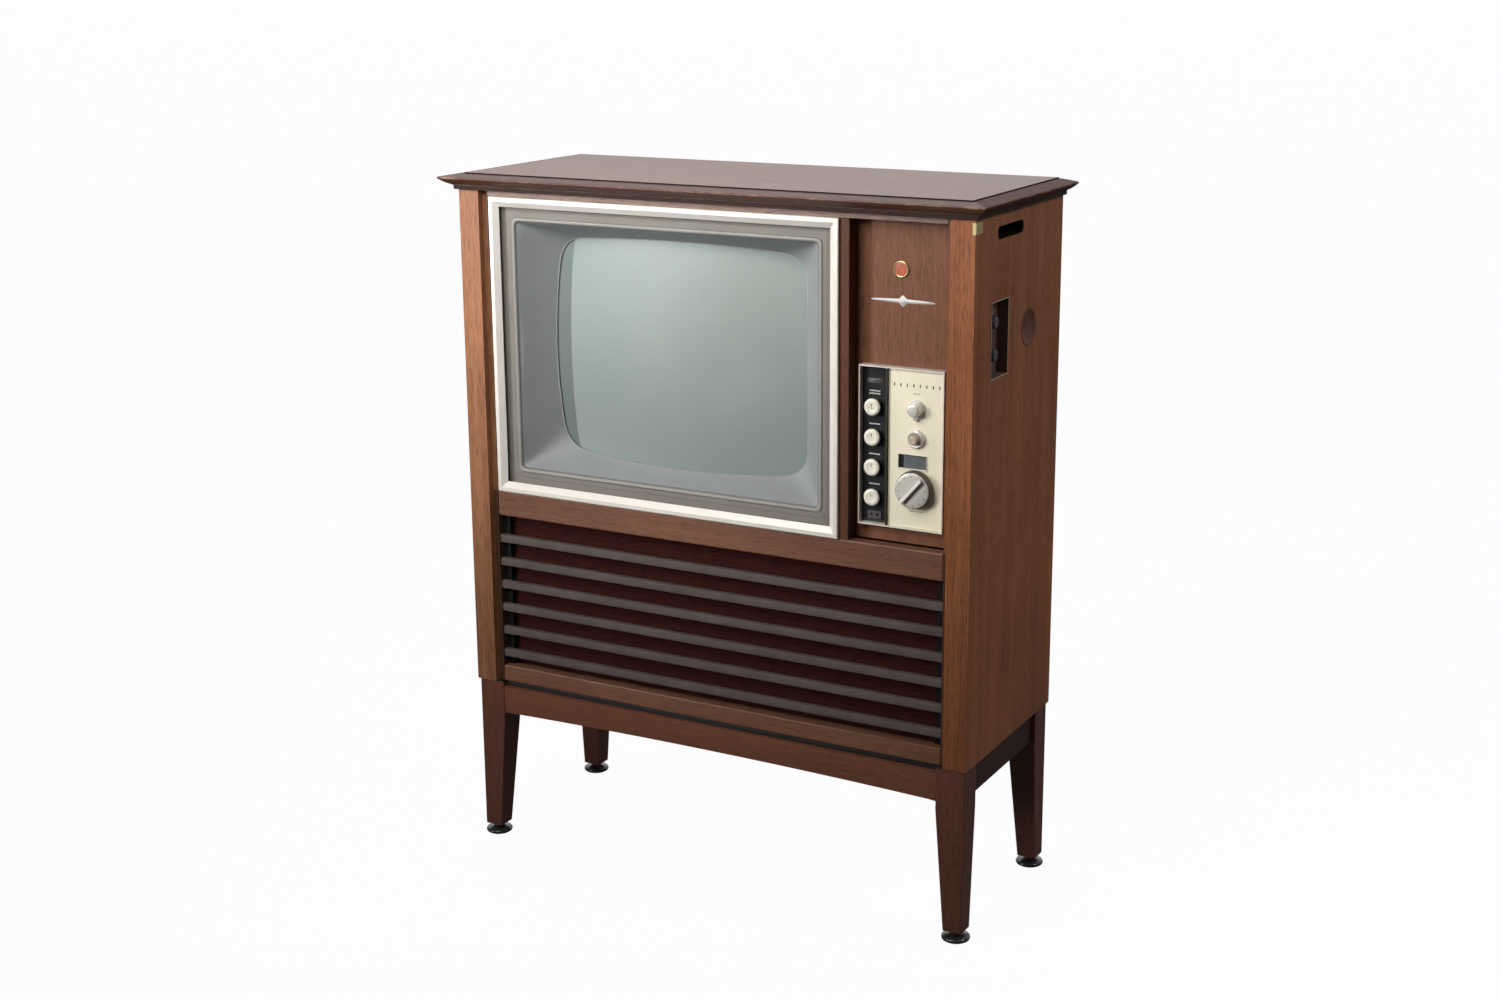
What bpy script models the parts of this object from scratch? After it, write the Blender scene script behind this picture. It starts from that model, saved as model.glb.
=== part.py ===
"""Console television of the mid 1960s on four tapered legs, built from separate pieces.

Lengths are in millimetres, and MM turns them into metres where a shape is made.
x runs to the viewer's right from the middle of the cabinet, y runs back from the
front faces of the stiles, and z runs up from the floor. The empty "cabinet" places
that frame so that the box around the whole object is centred over the origin.
"""
import math

import bmesh
import bpy

MM = 0.001
GAP = 0.3

# cabinet
BODY_WIDTH = 765.0
BODY_DEPTH = 294.0
BODY_BOTTOM = 241.0
BODY_TOP = 949.0
TOP_SURFACE = 971.5
SIDE_X = BODY_WIDTH / 2
SIDE_THICKNESS = 18.0
STILE_WIDTH = 32.0
STILE_DEPTH = 26.0
REBATE_WIDTH = 7.5
RAIL_FRONT = 10.0
RAIL_BACK = 28.0
INSIDE_X = SIDE_X - SIDE_THICKNESS - GAP
RAIL_END_X = SIDE_X - STILE_WIDTH - REBATE_WIDTH - GAP

# top mouldings
OVERHANG = 21.0
TIP_Z = 966.8
INLAY_INSET = 7.0

# front openings
MIDDLE_RAIL_BOTTOM = 488.4
MIDDLE_RAIL_TOP = 525.2
BOTTOM_RAIL_TOP = 264.1
TOP_RAIL_BOTTOM = 940.6
DIVIDER_LEFT = 196.1
DIVIDER_RIGHT = 209.3

# screen
SCREEN_X = -71.7
SCREEN_Z = 733.0
FRAME_HALF_WIDTH = 267.3
FRAME_HALF_HEIGHT = 207.4
FRAME_WIDTH = 13.8
FRAME_FRONT = 6.0
FRAME_BACK = 12.6
GLASS_HALF_WIDTH = 262.0
GLASS_HALF_HEIGHT = 202.0
GLASS_FRONT = 13.0
GLASS_THICKNESS = 4.0
MASK_FRONT = 22.5
MASK_THICKNESS = 2.5
MASK_HALF_WIDTH = 234.0
MASK_HALF_HEIGHT = 174.3
OPENING_HALF_WIDTH = 197.3
OPENING_HALF_HEIGHT = 157.3
TUBE_FRONT = 38.0
TUBE_RADIUS = 800.0
TUBE_HALF_WIDTH = 212.0
TUBE_HALF_HEIGHT = 171.0
TUBE_WALL = 6.0
NECK_RADIUS = 15.0
NECK_START = 245.0
NECK_END = 335.0

# grille
SLAT_COUNT = 6
SLAT_PITCH = 34.2
SLAT_HEIGHT = 11.0
SLAT_DEPTH = 8.0
TOP_SLAT_Z = 453.8
SPEAKER_X = 190.0
SPEAKER_Z = 376.0
SPEAKER_RADIUS = 60.0

# control panel
BEZEL_X = 276.2
BEZEL_Z = 650.8
BEZEL_WIDTH = 118.0
BEZEL_HEIGHT = 208.5
BEZEL_FRONT = 22.0
BEZEL_BACK = 40.0
BEZEL_WALL = 1.8
BAY_SPLIT_LEFT = 255.4
BAY_SPLIT_RIGHT = 257.0
BOARD_FRONT = 33.0
BOARD_BACK = 41.0
STRIP_FRONT = 30.5
PLATE_FRONT = 26.0
PANEL_THICKNESS = 1.6
STRIP_KNOB_X = 236.3
STRIP_KNOB_TOP_Z = 701.0
STRIP_KNOB_PITCH = 39.4
STRIP_KNOB_RADIUS = 11.2
STRIP_KNOB_NAMES = ("volume_knob", "contrast_knob", "brightness_knob", "vertical_hold_knob")
RIGHT_COLUMN_X = 296.6
TONE_KNOB_Z = 703.8
BUTTON_Z = 665.3
BUTTON_RADIUS = 5.8
WINDOW_Z = 634.6
WINDOW_WIDTH = 39.4
WINDOW_HEIGHT = 18.4
CHANNEL_Z = 600.5
CHANNEL_RADIUS = 24.7
CHANNEL_BAR_ANGLE = math.radians(49)
SHAFT_RADIUS = 3.0
SHAFT_HOLE_RADIUS = 3.5

# right side
SLOT_Y = 113.0
SLOT_Z = 924.5
SLOT_LENGTH = 84.0
SLOT_HEIGHT = 16.5
SLOT_CORNER = 6.0
SIDE_TRAY_Y = 82.5
SIDE_TRAY_Z = 791.5
SIDE_TRAY_WIDTH = 57.0
SIDE_TRAY_HEIGHT = 99.0
SIDE_TRAY_FLOOR = 368.0
SIDE_KNOB_Y = 80.0
SIDE_KNOB_UPPER_Z = 812.0
SIDE_KNOB_LOWER_Z = 770.0
SIDE_KNOB_RADIUS = 9.0
CAP_Y = 181.0
CAP_Z = 790.8
CAP_RADIUS = 25.5

# legs
LEG_TOP_WIDTH = 40.0
LEG_FOOT_WIDTH = 27.0
LEG_TAPER_Z = 182.0
LEG_BOTTOM = 14.0
LEG_INSET = 2.5
APRON_BOTTOM = 193.0
APRON_TOP = 233.5
APRON_ARCH = 5.0
APRON_THICKNESS = 18.0
SIDE_APRON_INSET = 10.0
STUD_RADIUS = 4.0
STUD_LENGTH = 20.0
GLIDE_RADIUS = 19.0

# back
COVER_FRONT = 286.0
COVER_BACK = 291.0
NECK_HOLE_RADIUS = 44.0
NECK_CUP_END = 359.0
INLET_X = -250.0
INLET_Z = 300.0
INLET_RADIUS = 8.0
TERMINAL_X = 230.0
TERMINAL_Z = 800.0
CHASSIS_TOP = 296.0

FRONT_Y = OVERHANG - (NECK_CUP_END + OVERHANG) / 2

UP = (0.0, 0.0, 0.0)
TO_FRONT = (math.pi / 2, 0.0, 0.0)
TO_BACK = (-math.pi / 2, 0.0, 0.0)
TO_RIGHT = (math.pi / 2, 0.0, math.pi / 2)


def clear_scene():
    for item in list(bpy.data.objects):
        bpy.data.objects.remove(item, do_unlink=True)


def new_collection(name):
    collection = bpy.data.collections.new(name)
    bpy.context.scene.collection.children.link(collection)
    return collection


def make_material(name, colour, roughness, metallic=0.0):
    material = bpy.data.materials.new(name)
    material.use_nodes = True
    shader = material.node_tree.nodes["Principled BSDF"]
    shader.inputs["Base Color"].default_value = (*colour, 1.0)
    shader.inputs["Roughness"].default_value = roughness
    shader.inputs["Metallic"].default_value = metallic
    material.diffuse_color = (*colour, 1.0)
    return material


clear_scene()
TELEVISION = new_collection("console_television")
CUTTERS = new_collection("cutters")
CABINET = bpy.data.objects.new("cabinet", None)
CABINET.location = (0.0, FRONT_Y * MM, 0.0)
TELEVISION.objects.link(CABINET)

TEAK = make_material("teak", (0.22, 0.085, 0.04), 0.45)
DARK_TEAK = make_material("dark_teak", (0.09, 0.035, 0.022), 0.5)
BLACK_PAINT = make_material("black_paint", (0.02, 0.018, 0.018), 0.6)
SLAT_PAINT = make_material("slat_paint", (0.06, 0.045, 0.042), 0.55)
GRILLE_CLOTH = make_material("grille_cloth", (0.05, 0.018, 0.015), 0.9)
SATIN_METAL = make_material("satin_metal", (0.83, 0.8, 0.74), 0.3, 1.0)
CREAM_METAL = make_material("cream_metal", (0.78, 0.68, 0.48), 0.4, 0.6)
CREAM_PLASTIC = make_material("cream_plastic", (0.82, 0.77, 0.66), 0.35)
CHROME = make_material("chrome", (0.8, 0.8, 0.8), 0.12, 1.0)
BRASS = make_material("brass", (0.8, 0.62, 0.3), 0.35, 1.0)
MASK_GREY = make_material("mask_grey", (0.24, 0.25, 0.25), 0.6)
TUBE_GLASS = make_material("tube_glass", (0.36, 0.42, 0.38), 0.15)
CLEAR_GLASS = make_material("clear_glass", (0.9, 0.93, 0.92), 0.05)
BLACK_PLASTIC = make_material("black_plastic", (0.02, 0.02, 0.022), 0.35)
BROWN_PLASTIC = make_material("brown_plastic", (0.11, 0.045, 0.028), 0.4)
HARDBOARD = make_material("hardboard", (0.2, 0.12, 0.07), 0.85)
STEEL = make_material("steel", (0.5, 0.5, 0.5), 0.4, 1.0)
COPPER_COIL = make_material("copper_coil", (0.45, 0.18, 0.08), 0.5)
SPEAKER_PAPER = make_material("speaker_paper", (0.05, 0.045, 0.04), 0.85)
RUBBER = make_material("rubber", (0.03, 0.028, 0.028), 0.7)


# ---- shape tools ----------------------------------------------------------------

def place(part, at, turn):
    part.location = [value * MM for value in at]
    part.rotation_euler = turn
    part.parent = CABINET


def add_mesh(name, mesh, at, turn, material):
    part = bpy.data.objects.new(name, mesh)
    mesh.materials.clear()
    mesh.materials.append(material)
    TELEVISION.objects.link(part)
    place(part, at, turn)
    return part


def round_edges(part, width, segments=2):
    bevel = part.modifiers.new("rounded_edges", "BEVEL")
    bevel.width = width * MM
    bevel.segments = segments
    bevel.limit_method = "ANGLE"
    bevel.angle_limit = math.radians(40)


def box(name, x, y, z, material, edge=0.0):
    """A block between two x, two y and two z, with its origin at its middle."""
    spans = [span[1] - span[0] for span in (x, y, z)]
    middle = [(span[0] + span[1]) / 2 for span in (x, y, z)]
    mesh = bpy.data.meshes.new(name)
    shape = bmesh.new()
    bmesh.ops.create_cube(shape, size=1.0)
    bmesh.ops.scale(shape, vec=[span * MM for span in spans], verts=shape.verts)
    shape.to_mesh(mesh)
    shape.free()
    part = add_mesh(name, mesh, middle, UP, material)
    if edge:
        round_edges(part, edge)
    return part


def boxes(name, blocks, at, material):
    """Several separate blocks (x, y, z spans measured from at) in one mesh."""
    mesh = bpy.data.meshes.new(name)
    shape = bmesh.new()
    for block in blocks:
        cube = bmesh.ops.create_cube(shape, size=1.0)["verts"]
        bmesh.ops.scale(shape, vec=[(span[1] - span[0]) * MM for span in block], verts=cube)
        bmesh.ops.translate(shape, vec=[(span[0] + span[1]) / 2 * MM for span in block], verts=cube)
    shape.to_mesh(mesh)
    shape.free()
    return add_mesh(name, mesh, at, UP, material)


def prism(name, outlines, depth, at, turn, material):
    """A flat outline with its holes, extruded half its depth each way from at."""
    curve = bpy.data.curves.new(name + "_outline", "CURVE")
    curve.dimensions = "2D"
    curve.fill_mode = "BOTH"
    curve.extrude = depth * MM / 2
    for outline in outlines:
        spline = curve.splines.new("POLY")
        spline.points.add(len(outline) - 1)
        for point, (u, v) in zip(spline.points, outline):
            point.co = (u * MM, v * MM, 0.0, 1.0)
        spline.use_cyclic_u = True
    guide = bpy.data.objects.new(name + "_outline", curve)
    TELEVISION.objects.link(guide)
    depsgraph = bpy.context.evaluated_depsgraph_get()
    mesh = bpy.data.meshes.new_from_object(guide.evaluated_get(depsgraph))
    bpy.data.objects.remove(guide, do_unlink=True)
    shape = bmesh.new()
    shape.from_mesh(mesh)
    bmesh.ops.remove_doubles(shape, verts=shape.verts, dist=1e-6)
    bmesh.ops.recalc_face_normals(shape, faces=shape.faces)
    shape.to_mesh(mesh)
    shape.free()
    return add_mesh(name, mesh, at, turn, material)


def turned(name, profile, at, turn, material, steps=32):
    """A turned piece. The profile is (radius, height) from the top down."""
    mesh = bpy.data.meshes.new(name)
    points = [(radius * MM, 0.0, height * MM) for radius, height in profile]
    mesh.from_pydata(points, [(i, i + 1) for i in range(len(points) - 1)], [])
    part = add_mesh(name, mesh, at, turn, material)
    screw = part.modifiers.new("turning", "SCREW")
    screw.axis = "Z"
    screw.steps = steps
    screw.render_steps = steps
    screw.use_merge_vertices = True
    screw.merge_threshold = 0.00001
    screw.use_smooth_shade = True
    return part


def ring(name, profile, at, turn, material, steps=32):
    """A turned ring: the closed profile starts at its top inner corner."""
    return turned(name, list(profile) + [profile[0]], at, turn, material, steps)


def loft(name, sections, at, material, capped=True):
    """A skin over sections with equal numbers of points, front section first."""
    mesh = bpy.data.meshes.new(name)
    shape = bmesh.new()
    rows = []
    for section in sections:
        rows.append([shape.verts.new([value * MM for value in point]) for point in section])
    for front, back in zip(rows, rows[1:]):
        for i in range(len(front)):
            j = (i + 1) % len(front)
            shape.faces.new((front[i], front[j], back[j], back[i]))
    if capped:
        shape.faces.new(rows[0])
        shape.faces.new(rows[-1])
    bmesh.ops.recalc_face_normals(shape, faces=shape.faces)
    shape.to_mesh(mesh)
    shape.free()
    return add_mesh(name, mesh, at, UP, material)


def combine(part, other, operation):
    """Cuts other out of part, or joins it on, and keeps it as a hidden guide."""
    boolean = part.modifiers.new(operation.lower() + "_" + other.name, "BOOLEAN")
    boolean.operation = operation
    boolean.solver = "EXACT"
    boolean.object = other
    TELEVISION.objects.unlink(other)
    CUTTERS.objects.link(other)
    other.hide_render = True
    other.display_type = "WIRE"


def cut(part, cutter):
    combine(part, cutter, "DIFFERENCE")


def join(part, other):
    combine(part, other, "UNION")


def shade_round(part, angle=35):
    part.data.shade_smooth()
    part.data.set_sharp_from_angle(angle=math.radians(angle))


# ---- outlines -------------------------------------------------------------------

def rectangle(width, height, x=0.0, z=0.0):
    right = x + width / 2
    top = z + height / 2
    return [(right, z - height / 2), (right, top), (x - width / 2, top), (x - width / 2, z - height / 2)]


def circle(radius, x=0.0, z=0.0, steps=24):
    angles = [2 * math.pi * i / steps for i in range(steps)]
    return [(x + radius * math.cos(a), z + radius * math.sin(a)) for a in angles]


def rounded_rectangle(width, height, corner, x=0.0, z=0.0, steps=4):
    points = []
    for quarter in range(4):
        side_x = 1 if quarter in (0, 3) else -1
        side_z = 1 if quarter in (0, 1) else -1
        for i in range(steps + 1):
            angle = math.pi / 2 * (quarter + i / steps)
            points.append((x + side_x * (width / 2 - corner) + corner * math.cos(angle),
                           z + side_z * (height / 2 - corner) + corner * math.sin(angle)))
    return points


def barrel(half_width, half_height, bulge_x, bulge_z, corner, side_steps=3, corner_steps=4):
    """A rectangle whose sides bow out and whose corners are rounded, round its middle.

    bulge_x and bulge_z say how far the upright and the level sides bow out.
    """
    corner_x = half_width - bulge_x
    corner_z = half_height - bulge_z

    def upright(z):
        return half_width - bulge_x * (z / corner_z) ** 2

    def level(x):
        return half_height - bulge_z * (x / corner_x) ** 2

    start = (upright(corner_z - corner), corner_z - corner)
    end = (corner_x - corner, level(corner_x - corner))
    quarter = [(upright(start[1] * i / side_steps), start[1] * i / side_steps) for i in range(side_steps)]
    for i in range(corner_steps + 1):
        t = i / corner_steps
        near = (1 - t) ** 2
        far = t ** 2
        middle = 1 - near - far
        quarter.append((near * start[0] + middle * corner_x + far * end[0],
                        near * start[1] + middle * corner_z + far * end[1]))
    quarter += [(end[0] * (1 - i / side_steps), level(end[0] * (1 - i / side_steps)))
                for i in range(1, side_steps)]
    # the quarter stops short of x = 0, where the next one starts turned by a half mirror
    top = (0.0, half_height)
    left = [(-x, z) for x, z in reversed(quarter)]
    upper = quarter + [top] + left
    lower = [(x, -z) for x, z in reversed(upper[1:-1])]
    return upper + lower


def flat_section(outline, y):
    return [(x, y, z) for x, z in outline]


def dished_section(outline, y):
    """The outline laid on the round front of the picture tube, moved so its middle is at y."""
    return [(x, y + (x * x + z * z) / (2 * TUBE_RADIUS), z) for x, z in outline]


def blended_section(outline, radius, share, scale, y):
    """A section between the scaled outline (share 0) and a circle (share 1)."""
    section = []
    for x, z in outline:
        angle = math.atan2(z, x)
        section.append(((1 - share) * x * scale + share * radius * math.cos(angle), y,
                        (1 - share) * z * scale + share * radius * math.sin(angle)))
    return section


# ---- cabinet --------------------------------------------------------------------

def side_outline(side):
    """Plan of a side panel with its stile and rebate, for side 1 (right) or -1 (left)."""
    inner = SIDE_X - SIDE_THICKNESS
    stile = SIDE_X - STILE_WIDTH
    rebate = stile - REBATE_WIDTH
    points = [(stile, 0.0), (SIDE_X, 0.0), (SIDE_X, BODY_DEPTH), (inner, BODY_DEPTH),
              (inner, STILE_DEPTH), (rebate, STILE_DEPTH), (rebate, RAIL_FRONT), (stile, RAIL_FRONT)]
    return [(side * x, y) for x, y in points]


def side_hole(name, outline, y, z, side):
    through = SIDE_THICKNESS + 8
    return prism(name, [outline], through, (side * (SIDE_X - SIDE_THICKNESS / 2), y, z), TO_RIGHT, BLACK_PAINT)


def make_side_panels():
    height = BODY_TOP - GAP - BODY_BOTTOM
    for side, word in ((-1, "left"), (1, "right")):
        panel = prism("side_panel_" + word, [side_outline(side)], height,
                      (0.0, 0.0, BODY_BOTTOM + height / 2), UP, TEAK)
        slot = rounded_rectangle(SLOT_LENGTH, SLOT_HEIGHT, SLOT_CORNER)
        cut(panel, side_hole("hand_slot_cut_" + word, slot, SLOT_Y, SLOT_Z, side))
        if side == 1:
            tray = rectangle(SIDE_TRAY_WIDTH + 2 * GAP, SIDE_TRAY_HEIGHT + 2 * GAP)
            cut(panel, side_hole("side_tray_cut", tray, SIDE_TRAY_Y, SIDE_TRAY_Z, side))
            cut(panel, side_hole("side_cap_cut", circle(CAP_RADIUS + GAP, steps=32), CAP_Y, CAP_Z, side))


def make_rails():
    ends = (-RAIL_END_X, RAIL_END_X)
    box("top_rail", ends, (RAIL_FRONT, RAIL_BACK), (TOP_RAIL_BOTTOM, BODY_TOP - GAP), TEAK, 0.8)
    box("middle_rail", ends, (RAIL_FRONT, RAIL_BACK), (MIDDLE_RAIL_BOTTOM, MIDDLE_RAIL_TOP), TEAK, 2.0)
    box("bottom_rail", ends, (RAIL_FRONT, RAIL_BACK), (BODY_BOTTOM + GAP, BOTTOM_RAIL_TOP), TEAK, 1.0)
    box("divider", (DIVIDER_LEFT, DIVIDER_RIGHT), (RAIL_FRONT, BOARD_FRONT - GAP),
        (MIDDLE_RAIL_TOP + GAP, TOP_RAIL_BOTTOM - GAP), TEAK, 0.8)
    box("bottom_board", (-INSIDE_X, INSIDE_X), (RAIL_BACK + GAP, COVER_FRONT - GAP),
        (BODY_BOTTOM + GAP, BODY_BOTTOM + 12), HARDBOARD)


def make_control_board():
    height = TOP_RAIL_BOTTOM - MIDDLE_RAIL_TOP - 2 * GAP
    middle_x = (DIVIDER_LEFT + INSIDE_X) / 2
    middle_z = (TOP_RAIL_BOTTOM + MIDDLE_RAIL_TOP) / 2
    opening = rectangle(BEZEL_WIDTH + 2 * GAP, BEZEL_HEIGHT + 2 * GAP, BEZEL_X - middle_x, BEZEL_Z - middle_z)
    prism("control_board", [rectangle(INSIDE_X - DIVIDER_LEFT, height), opening], BOARD_BACK - BOARD_FRONT,
          (middle_x, (BOARD_FRONT + BOARD_BACK) / 2, middle_z), TO_FRONT, TEAK)


def moulding_profile():
    """Points (outward from the cabinet's face, z) round the moulding, from its top inner corner."""
    bottom = BODY_TOP + GAP
    underside = [(OVERHANG, TIP_Z - 1.6), (16.5, 961.6), (11.5, 958.0), (6.5, 956.2)]
    lip = [(6.5, 955.0), (5.0, 954.6), (5.0, bottom)]
    top = [(-INLAY_INSET, TOP_SURFACE), (-INLAY_INSET + 4, TOP_SURFACE), (OVERHANG - 1.0, TIP_Z + 0.4)]
    return top + [(OVERHANG, TIP_Z - 0.4)] + underside + lip + [(-INLAY_INSET, bottom)]


def make_top():
    inset = INLAY_INSET + GAP
    box("top_panel", (inset - SIDE_X, SIDE_X - inset), (inset, BODY_DEPTH), (BODY_TOP + GAP, TOP_SURFACE), TEAK, 0.5)
    profile = moulding_profile()
    left_mitre = [(-SIDE_X - out, -out, z) for out, z in profile]
    right_mitre = [(SIDE_X + out, -out, z) for out, z in profile]
    loft("top_moulding_front", [left_mitre, right_mitre], (0.0, 0.0, 0.0), TEAK)
    for side, word in ((-1, "left"), (1, "right")):
        front = [(side * (SIDE_X + out), GAP - out, z) for out, z in profile]
        back = [(side * (SIDE_X + out), BODY_DEPTH, z) for out, z in profile]
        loft("top_moulding_" + word, [front, back], (0.0, 0.0, 0.0), TEAK)


# ---- screen ---------------------------------------------------------------------

def frame_section(inset, y):
    outline = rectangle(2 * (FRAME_HALF_WIDTH - inset), 2 * (FRAME_HALF_HEIGHT - inset))
    return flat_section(outline, y)


def make_screen_frame():
    """A mitred frame: its sections follow one another round the metal, so the skin closes."""
    bevel_start = FRAME_WIDTH * 0.45
    rows = [frame_section(0.0, FRAME_BACK), frame_section(0.0, FRAME_FRONT + 1),
            frame_section(1.0, FRAME_FRONT), frame_section(bevel_start, FRAME_FRONT),
            frame_section(FRAME_WIDTH, FRAME_BACK - 0.8), frame_section(FRAME_WIDTH, FRAME_BACK)]
    loft("screen_frame", rows + rows[:1], (SCREEN_X, 0.0, SCREEN_Z), SATIN_METAL, capped=False)
    weld = bpy.data.objects["screen_frame"].modifiers.new("close", "WELD")
    weld.merge_threshold = 0.00001


def make_glass():
    box("safety_glass", (SCREEN_X - GLASS_HALF_WIDTH, SCREEN_X + GLASS_HALF_WIDTH),
        (GLASS_FRONT, GLASS_FRONT + GLASS_THICKNESS),
        (SCREEN_Z - GLASS_HALF_HEIGHT, SCREEN_Z + GLASS_HALF_HEIGHT), CLEAR_GLASS, 0.6)


def make_mask():
    """The grey surround: a flat flange, then four sloping faces down to the barrel-shaped opening."""
    clearance = MASK_THICKNESS + 1.5
    rows = [flat_section(barrel(GLASS_HALF_WIDTH, GLASS_HALF_HEIGHT, 0.0, 0.0, 3.0), MASK_FRONT),
            flat_section(barrel(MASK_HALF_WIDTH, MASK_HALF_HEIGHT, 0.0, 0.0, 5.0), MASK_FRONT),
            flat_section(barrel(MASK_HALF_WIDTH - 1.5, MASK_HALF_HEIGHT - 1.5, 0.0, 0.0, 5.0), MASK_FRONT + 2),
            dished_section(barrel(OPENING_HALF_WIDTH, OPENING_HALF_HEIGHT, 7.0, 10.0, 34.0),
                           TUBE_FRONT - clearance)]
    mask = loft("screen_mask", rows, (SCREEN_X, 0.0, SCREEN_Z), MASK_GREY, capped=False)
    wall = mask.modifiers.new("wall", "SOLIDIFY")
    wall.thickness = MASK_THICKNESS * MM
    wall.offset = -1.0
    shade_round(mask, 20)


def make_tube():
    """The glass bulb: a domed face, a short rim, a funnel and the neck, open at its back end."""
    rim = barrel(TUBE_HALF_WIDTH, TUBE_HALF_HEIGHT, 8.0, 10.0, 48.0)
    mesh = bpy.data.meshes.new("picture_tube")
    shape = bmesh.new()
    centre = shape.verts.new((0.0, TUBE_FRONT * MM, 0.0))
    sections = []
    for share in (0.5, 1.0):
        sections.append(dished_section([(x * share, z * share) for x, z in rim], TUBE_FRONT))
    rim_y = 76.0
    sections.append([(x * 1.01, rim_y, z * 1.01) for x, z in rim])
    funnel = ((0.0, 1.0, 92.0), (0.35, 0.74, 142.0), (0.7, 0.4, 192.0), (1.0, 0.1, 228.0))
    for share, scale, y in funnel:
        radius = NECK_RADIUS + (1 - share) * 110 + (14.0 if share == 1.0 else 0.0)
        sections.append(blended_section(rim, radius, share, scale, y))
    for y in (NECK_START, NECK_END):
        sections.append(blended_section(rim, NECK_RADIUS, 1.0, 1.0, y))
    rows = [[shape.verts.new([value * MM for value in point]) for point in section] for section in sections]
    count = len(rim)
    for i in range(count):
        shape.faces.new((centre, rows[0][(i + 1) % count], rows[0][i]))
    for front, back in zip(rows, rows[1:]):
        for i in range(count):
            j = (i + 1) % count
            shape.faces.new((front[i], front[j], back[j], back[i]))
    bmesh.ops.recalc_face_normals(shape, faces=shape.faces)
    shape.to_mesh(mesh)
    shape.free()
    tube = add_mesh("picture_tube", mesh, (SCREEN_X, 0.0, SCREEN_Z), UP, TUBE_GLASS)
    wall = tube.modifiers.new("wall", "SOLIDIFY")
    wall.thickness = TUBE_WALL * MM
    wall.offset = -1.0
    shade_round(tube, 40)


def make_yoke_and_socket():
    inner = NECK_RADIUS + 0.6
    coil = [(inner, 34.0), (40.0, 34.0), (44.0, 30.0), (36.0, 8.0), (36.0, 0.0), (inner, 0.0)]
    ring("deflection_yoke", coil, (SCREEN_X, NECK_START + 36, SCREEN_Z), TO_FRONT, COPPER_COIL, 24)
    base = [(0.0, 14.0), (15.0, 14.0), (17.0, 12.0), (17.0, 0.0), (0.0, 0.0)]
    turned("tube_socket", base, (SCREEN_X, NECK_END + GAP, SCREEN_Z), TO_BACK, BROWN_PLASTIC, 20)


# ---- grille and speakers --------------------------------------------------------

def make_grille():
    """Six bars across the front, held from behind by an upright batten at each end."""
    front = RAIL_FRONT + 2
    back = front + SLAT_DEPTH
    end = RAIL_END_X
    low = BOTTOM_RAIL_TOP + GAP
    high = MIDDLE_RAIL_BOTTOM - GAP
    bars = []
    for i in range(SLAT_COUNT):
        middle = TOP_SLAT_Z - i * SLAT_PITCH
        bars.append(((-end, end), (front, back), (middle - SLAT_HEIGHT / 2, middle + SLAT_HEIGHT / 2)))
    slats = boxes("grille_slats", bars, (0.0, 0.0, 0.0), SLAT_PAINT)
    round_edges(slats, 1.2, 1)
    battens = []
    for x in (6 - end, end - 6):
        battens.append(((x - 6, x + 6), (back - 1.5, back + 7), (low, high)))
    join(slats, boxes("grille_battens", battens, (0.0, 0.0, 0.0), SLAT_PAINT))
    box("grille_cloth", (-end, end), (back + 8, back + 9), (low, high), GRILLE_CLOTH)


def make_speakers():
    front = RAIL_BACK + 3
    middle_z = (BODY_BOTTOM + 13 + MIDDLE_RAIL_BOTTOM) / 2
    height = MIDDLE_RAIL_BOTTOM - BODY_BOTTOM - 13
    holes = [circle(47.0, x, SPEAKER_Z - middle_z, 24) for x in (-SPEAKER_X, SPEAKER_X)]
    prism("speaker_baffle", [rectangle(2 * INSIDE_X, height)] + holes, 9.0,
          (0.0, front + 4.5, middle_z), TO_FRONT, HARDBOARD)
    basket = [(0.0, 46.0), (24.0, 46.0), (26.0, 44.0), (26.0, 26.0), (34.0, 22.0), (56.0, 4.0),
              (SPEAKER_RADIUS, 3.0), (SPEAKER_RADIUS, 0.0), (48.0, 0.0), (20.0, 16.0), (0.0, 12.0)]
    for side, word in ((-1, "left"), (1, "right")):
        turned("speaker_" + word, basket, (side * SPEAKER_X, front + 9 + GAP, SPEAKER_Z), TO_BACK, SPEAKER_PAPER, 20)


# ---- control panel --------------------------------------------------------------

def make_bezel():
    left = BEZEL_X - BEZEL_WIDTH / 2 + BEZEL_WALL
    right = BEZEL_X + BEZEL_WIDTH / 2 - BEZEL_WALL
    height = BEZEL_HEIGHT - 2 * BEZEL_WALL
    bays = []
    for low, high in ((left, BAY_SPLIT_LEFT), (BAY_SPLIT_RIGHT, right)):
        bays.append(rectangle(high - low, height, (low + high) / 2 - BEZEL_X, 0.0))
    prism("control_bezel", [rectangle(BEZEL_WIDTH, BEZEL_HEIGHT)] + bays, BEZEL_BACK - BEZEL_FRONT,
          (BEZEL_X, (BEZEL_FRONT + BEZEL_BACK) / 2, BEZEL_Z), TO_FRONT, SATIN_METAL)
    return left, right, height


def strip_knob_heights():
    return [STRIP_KNOB_TOP_Z - i * STRIP_KNOB_PITCH for i in range(len(STRIP_KNOB_NAMES))]


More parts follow.
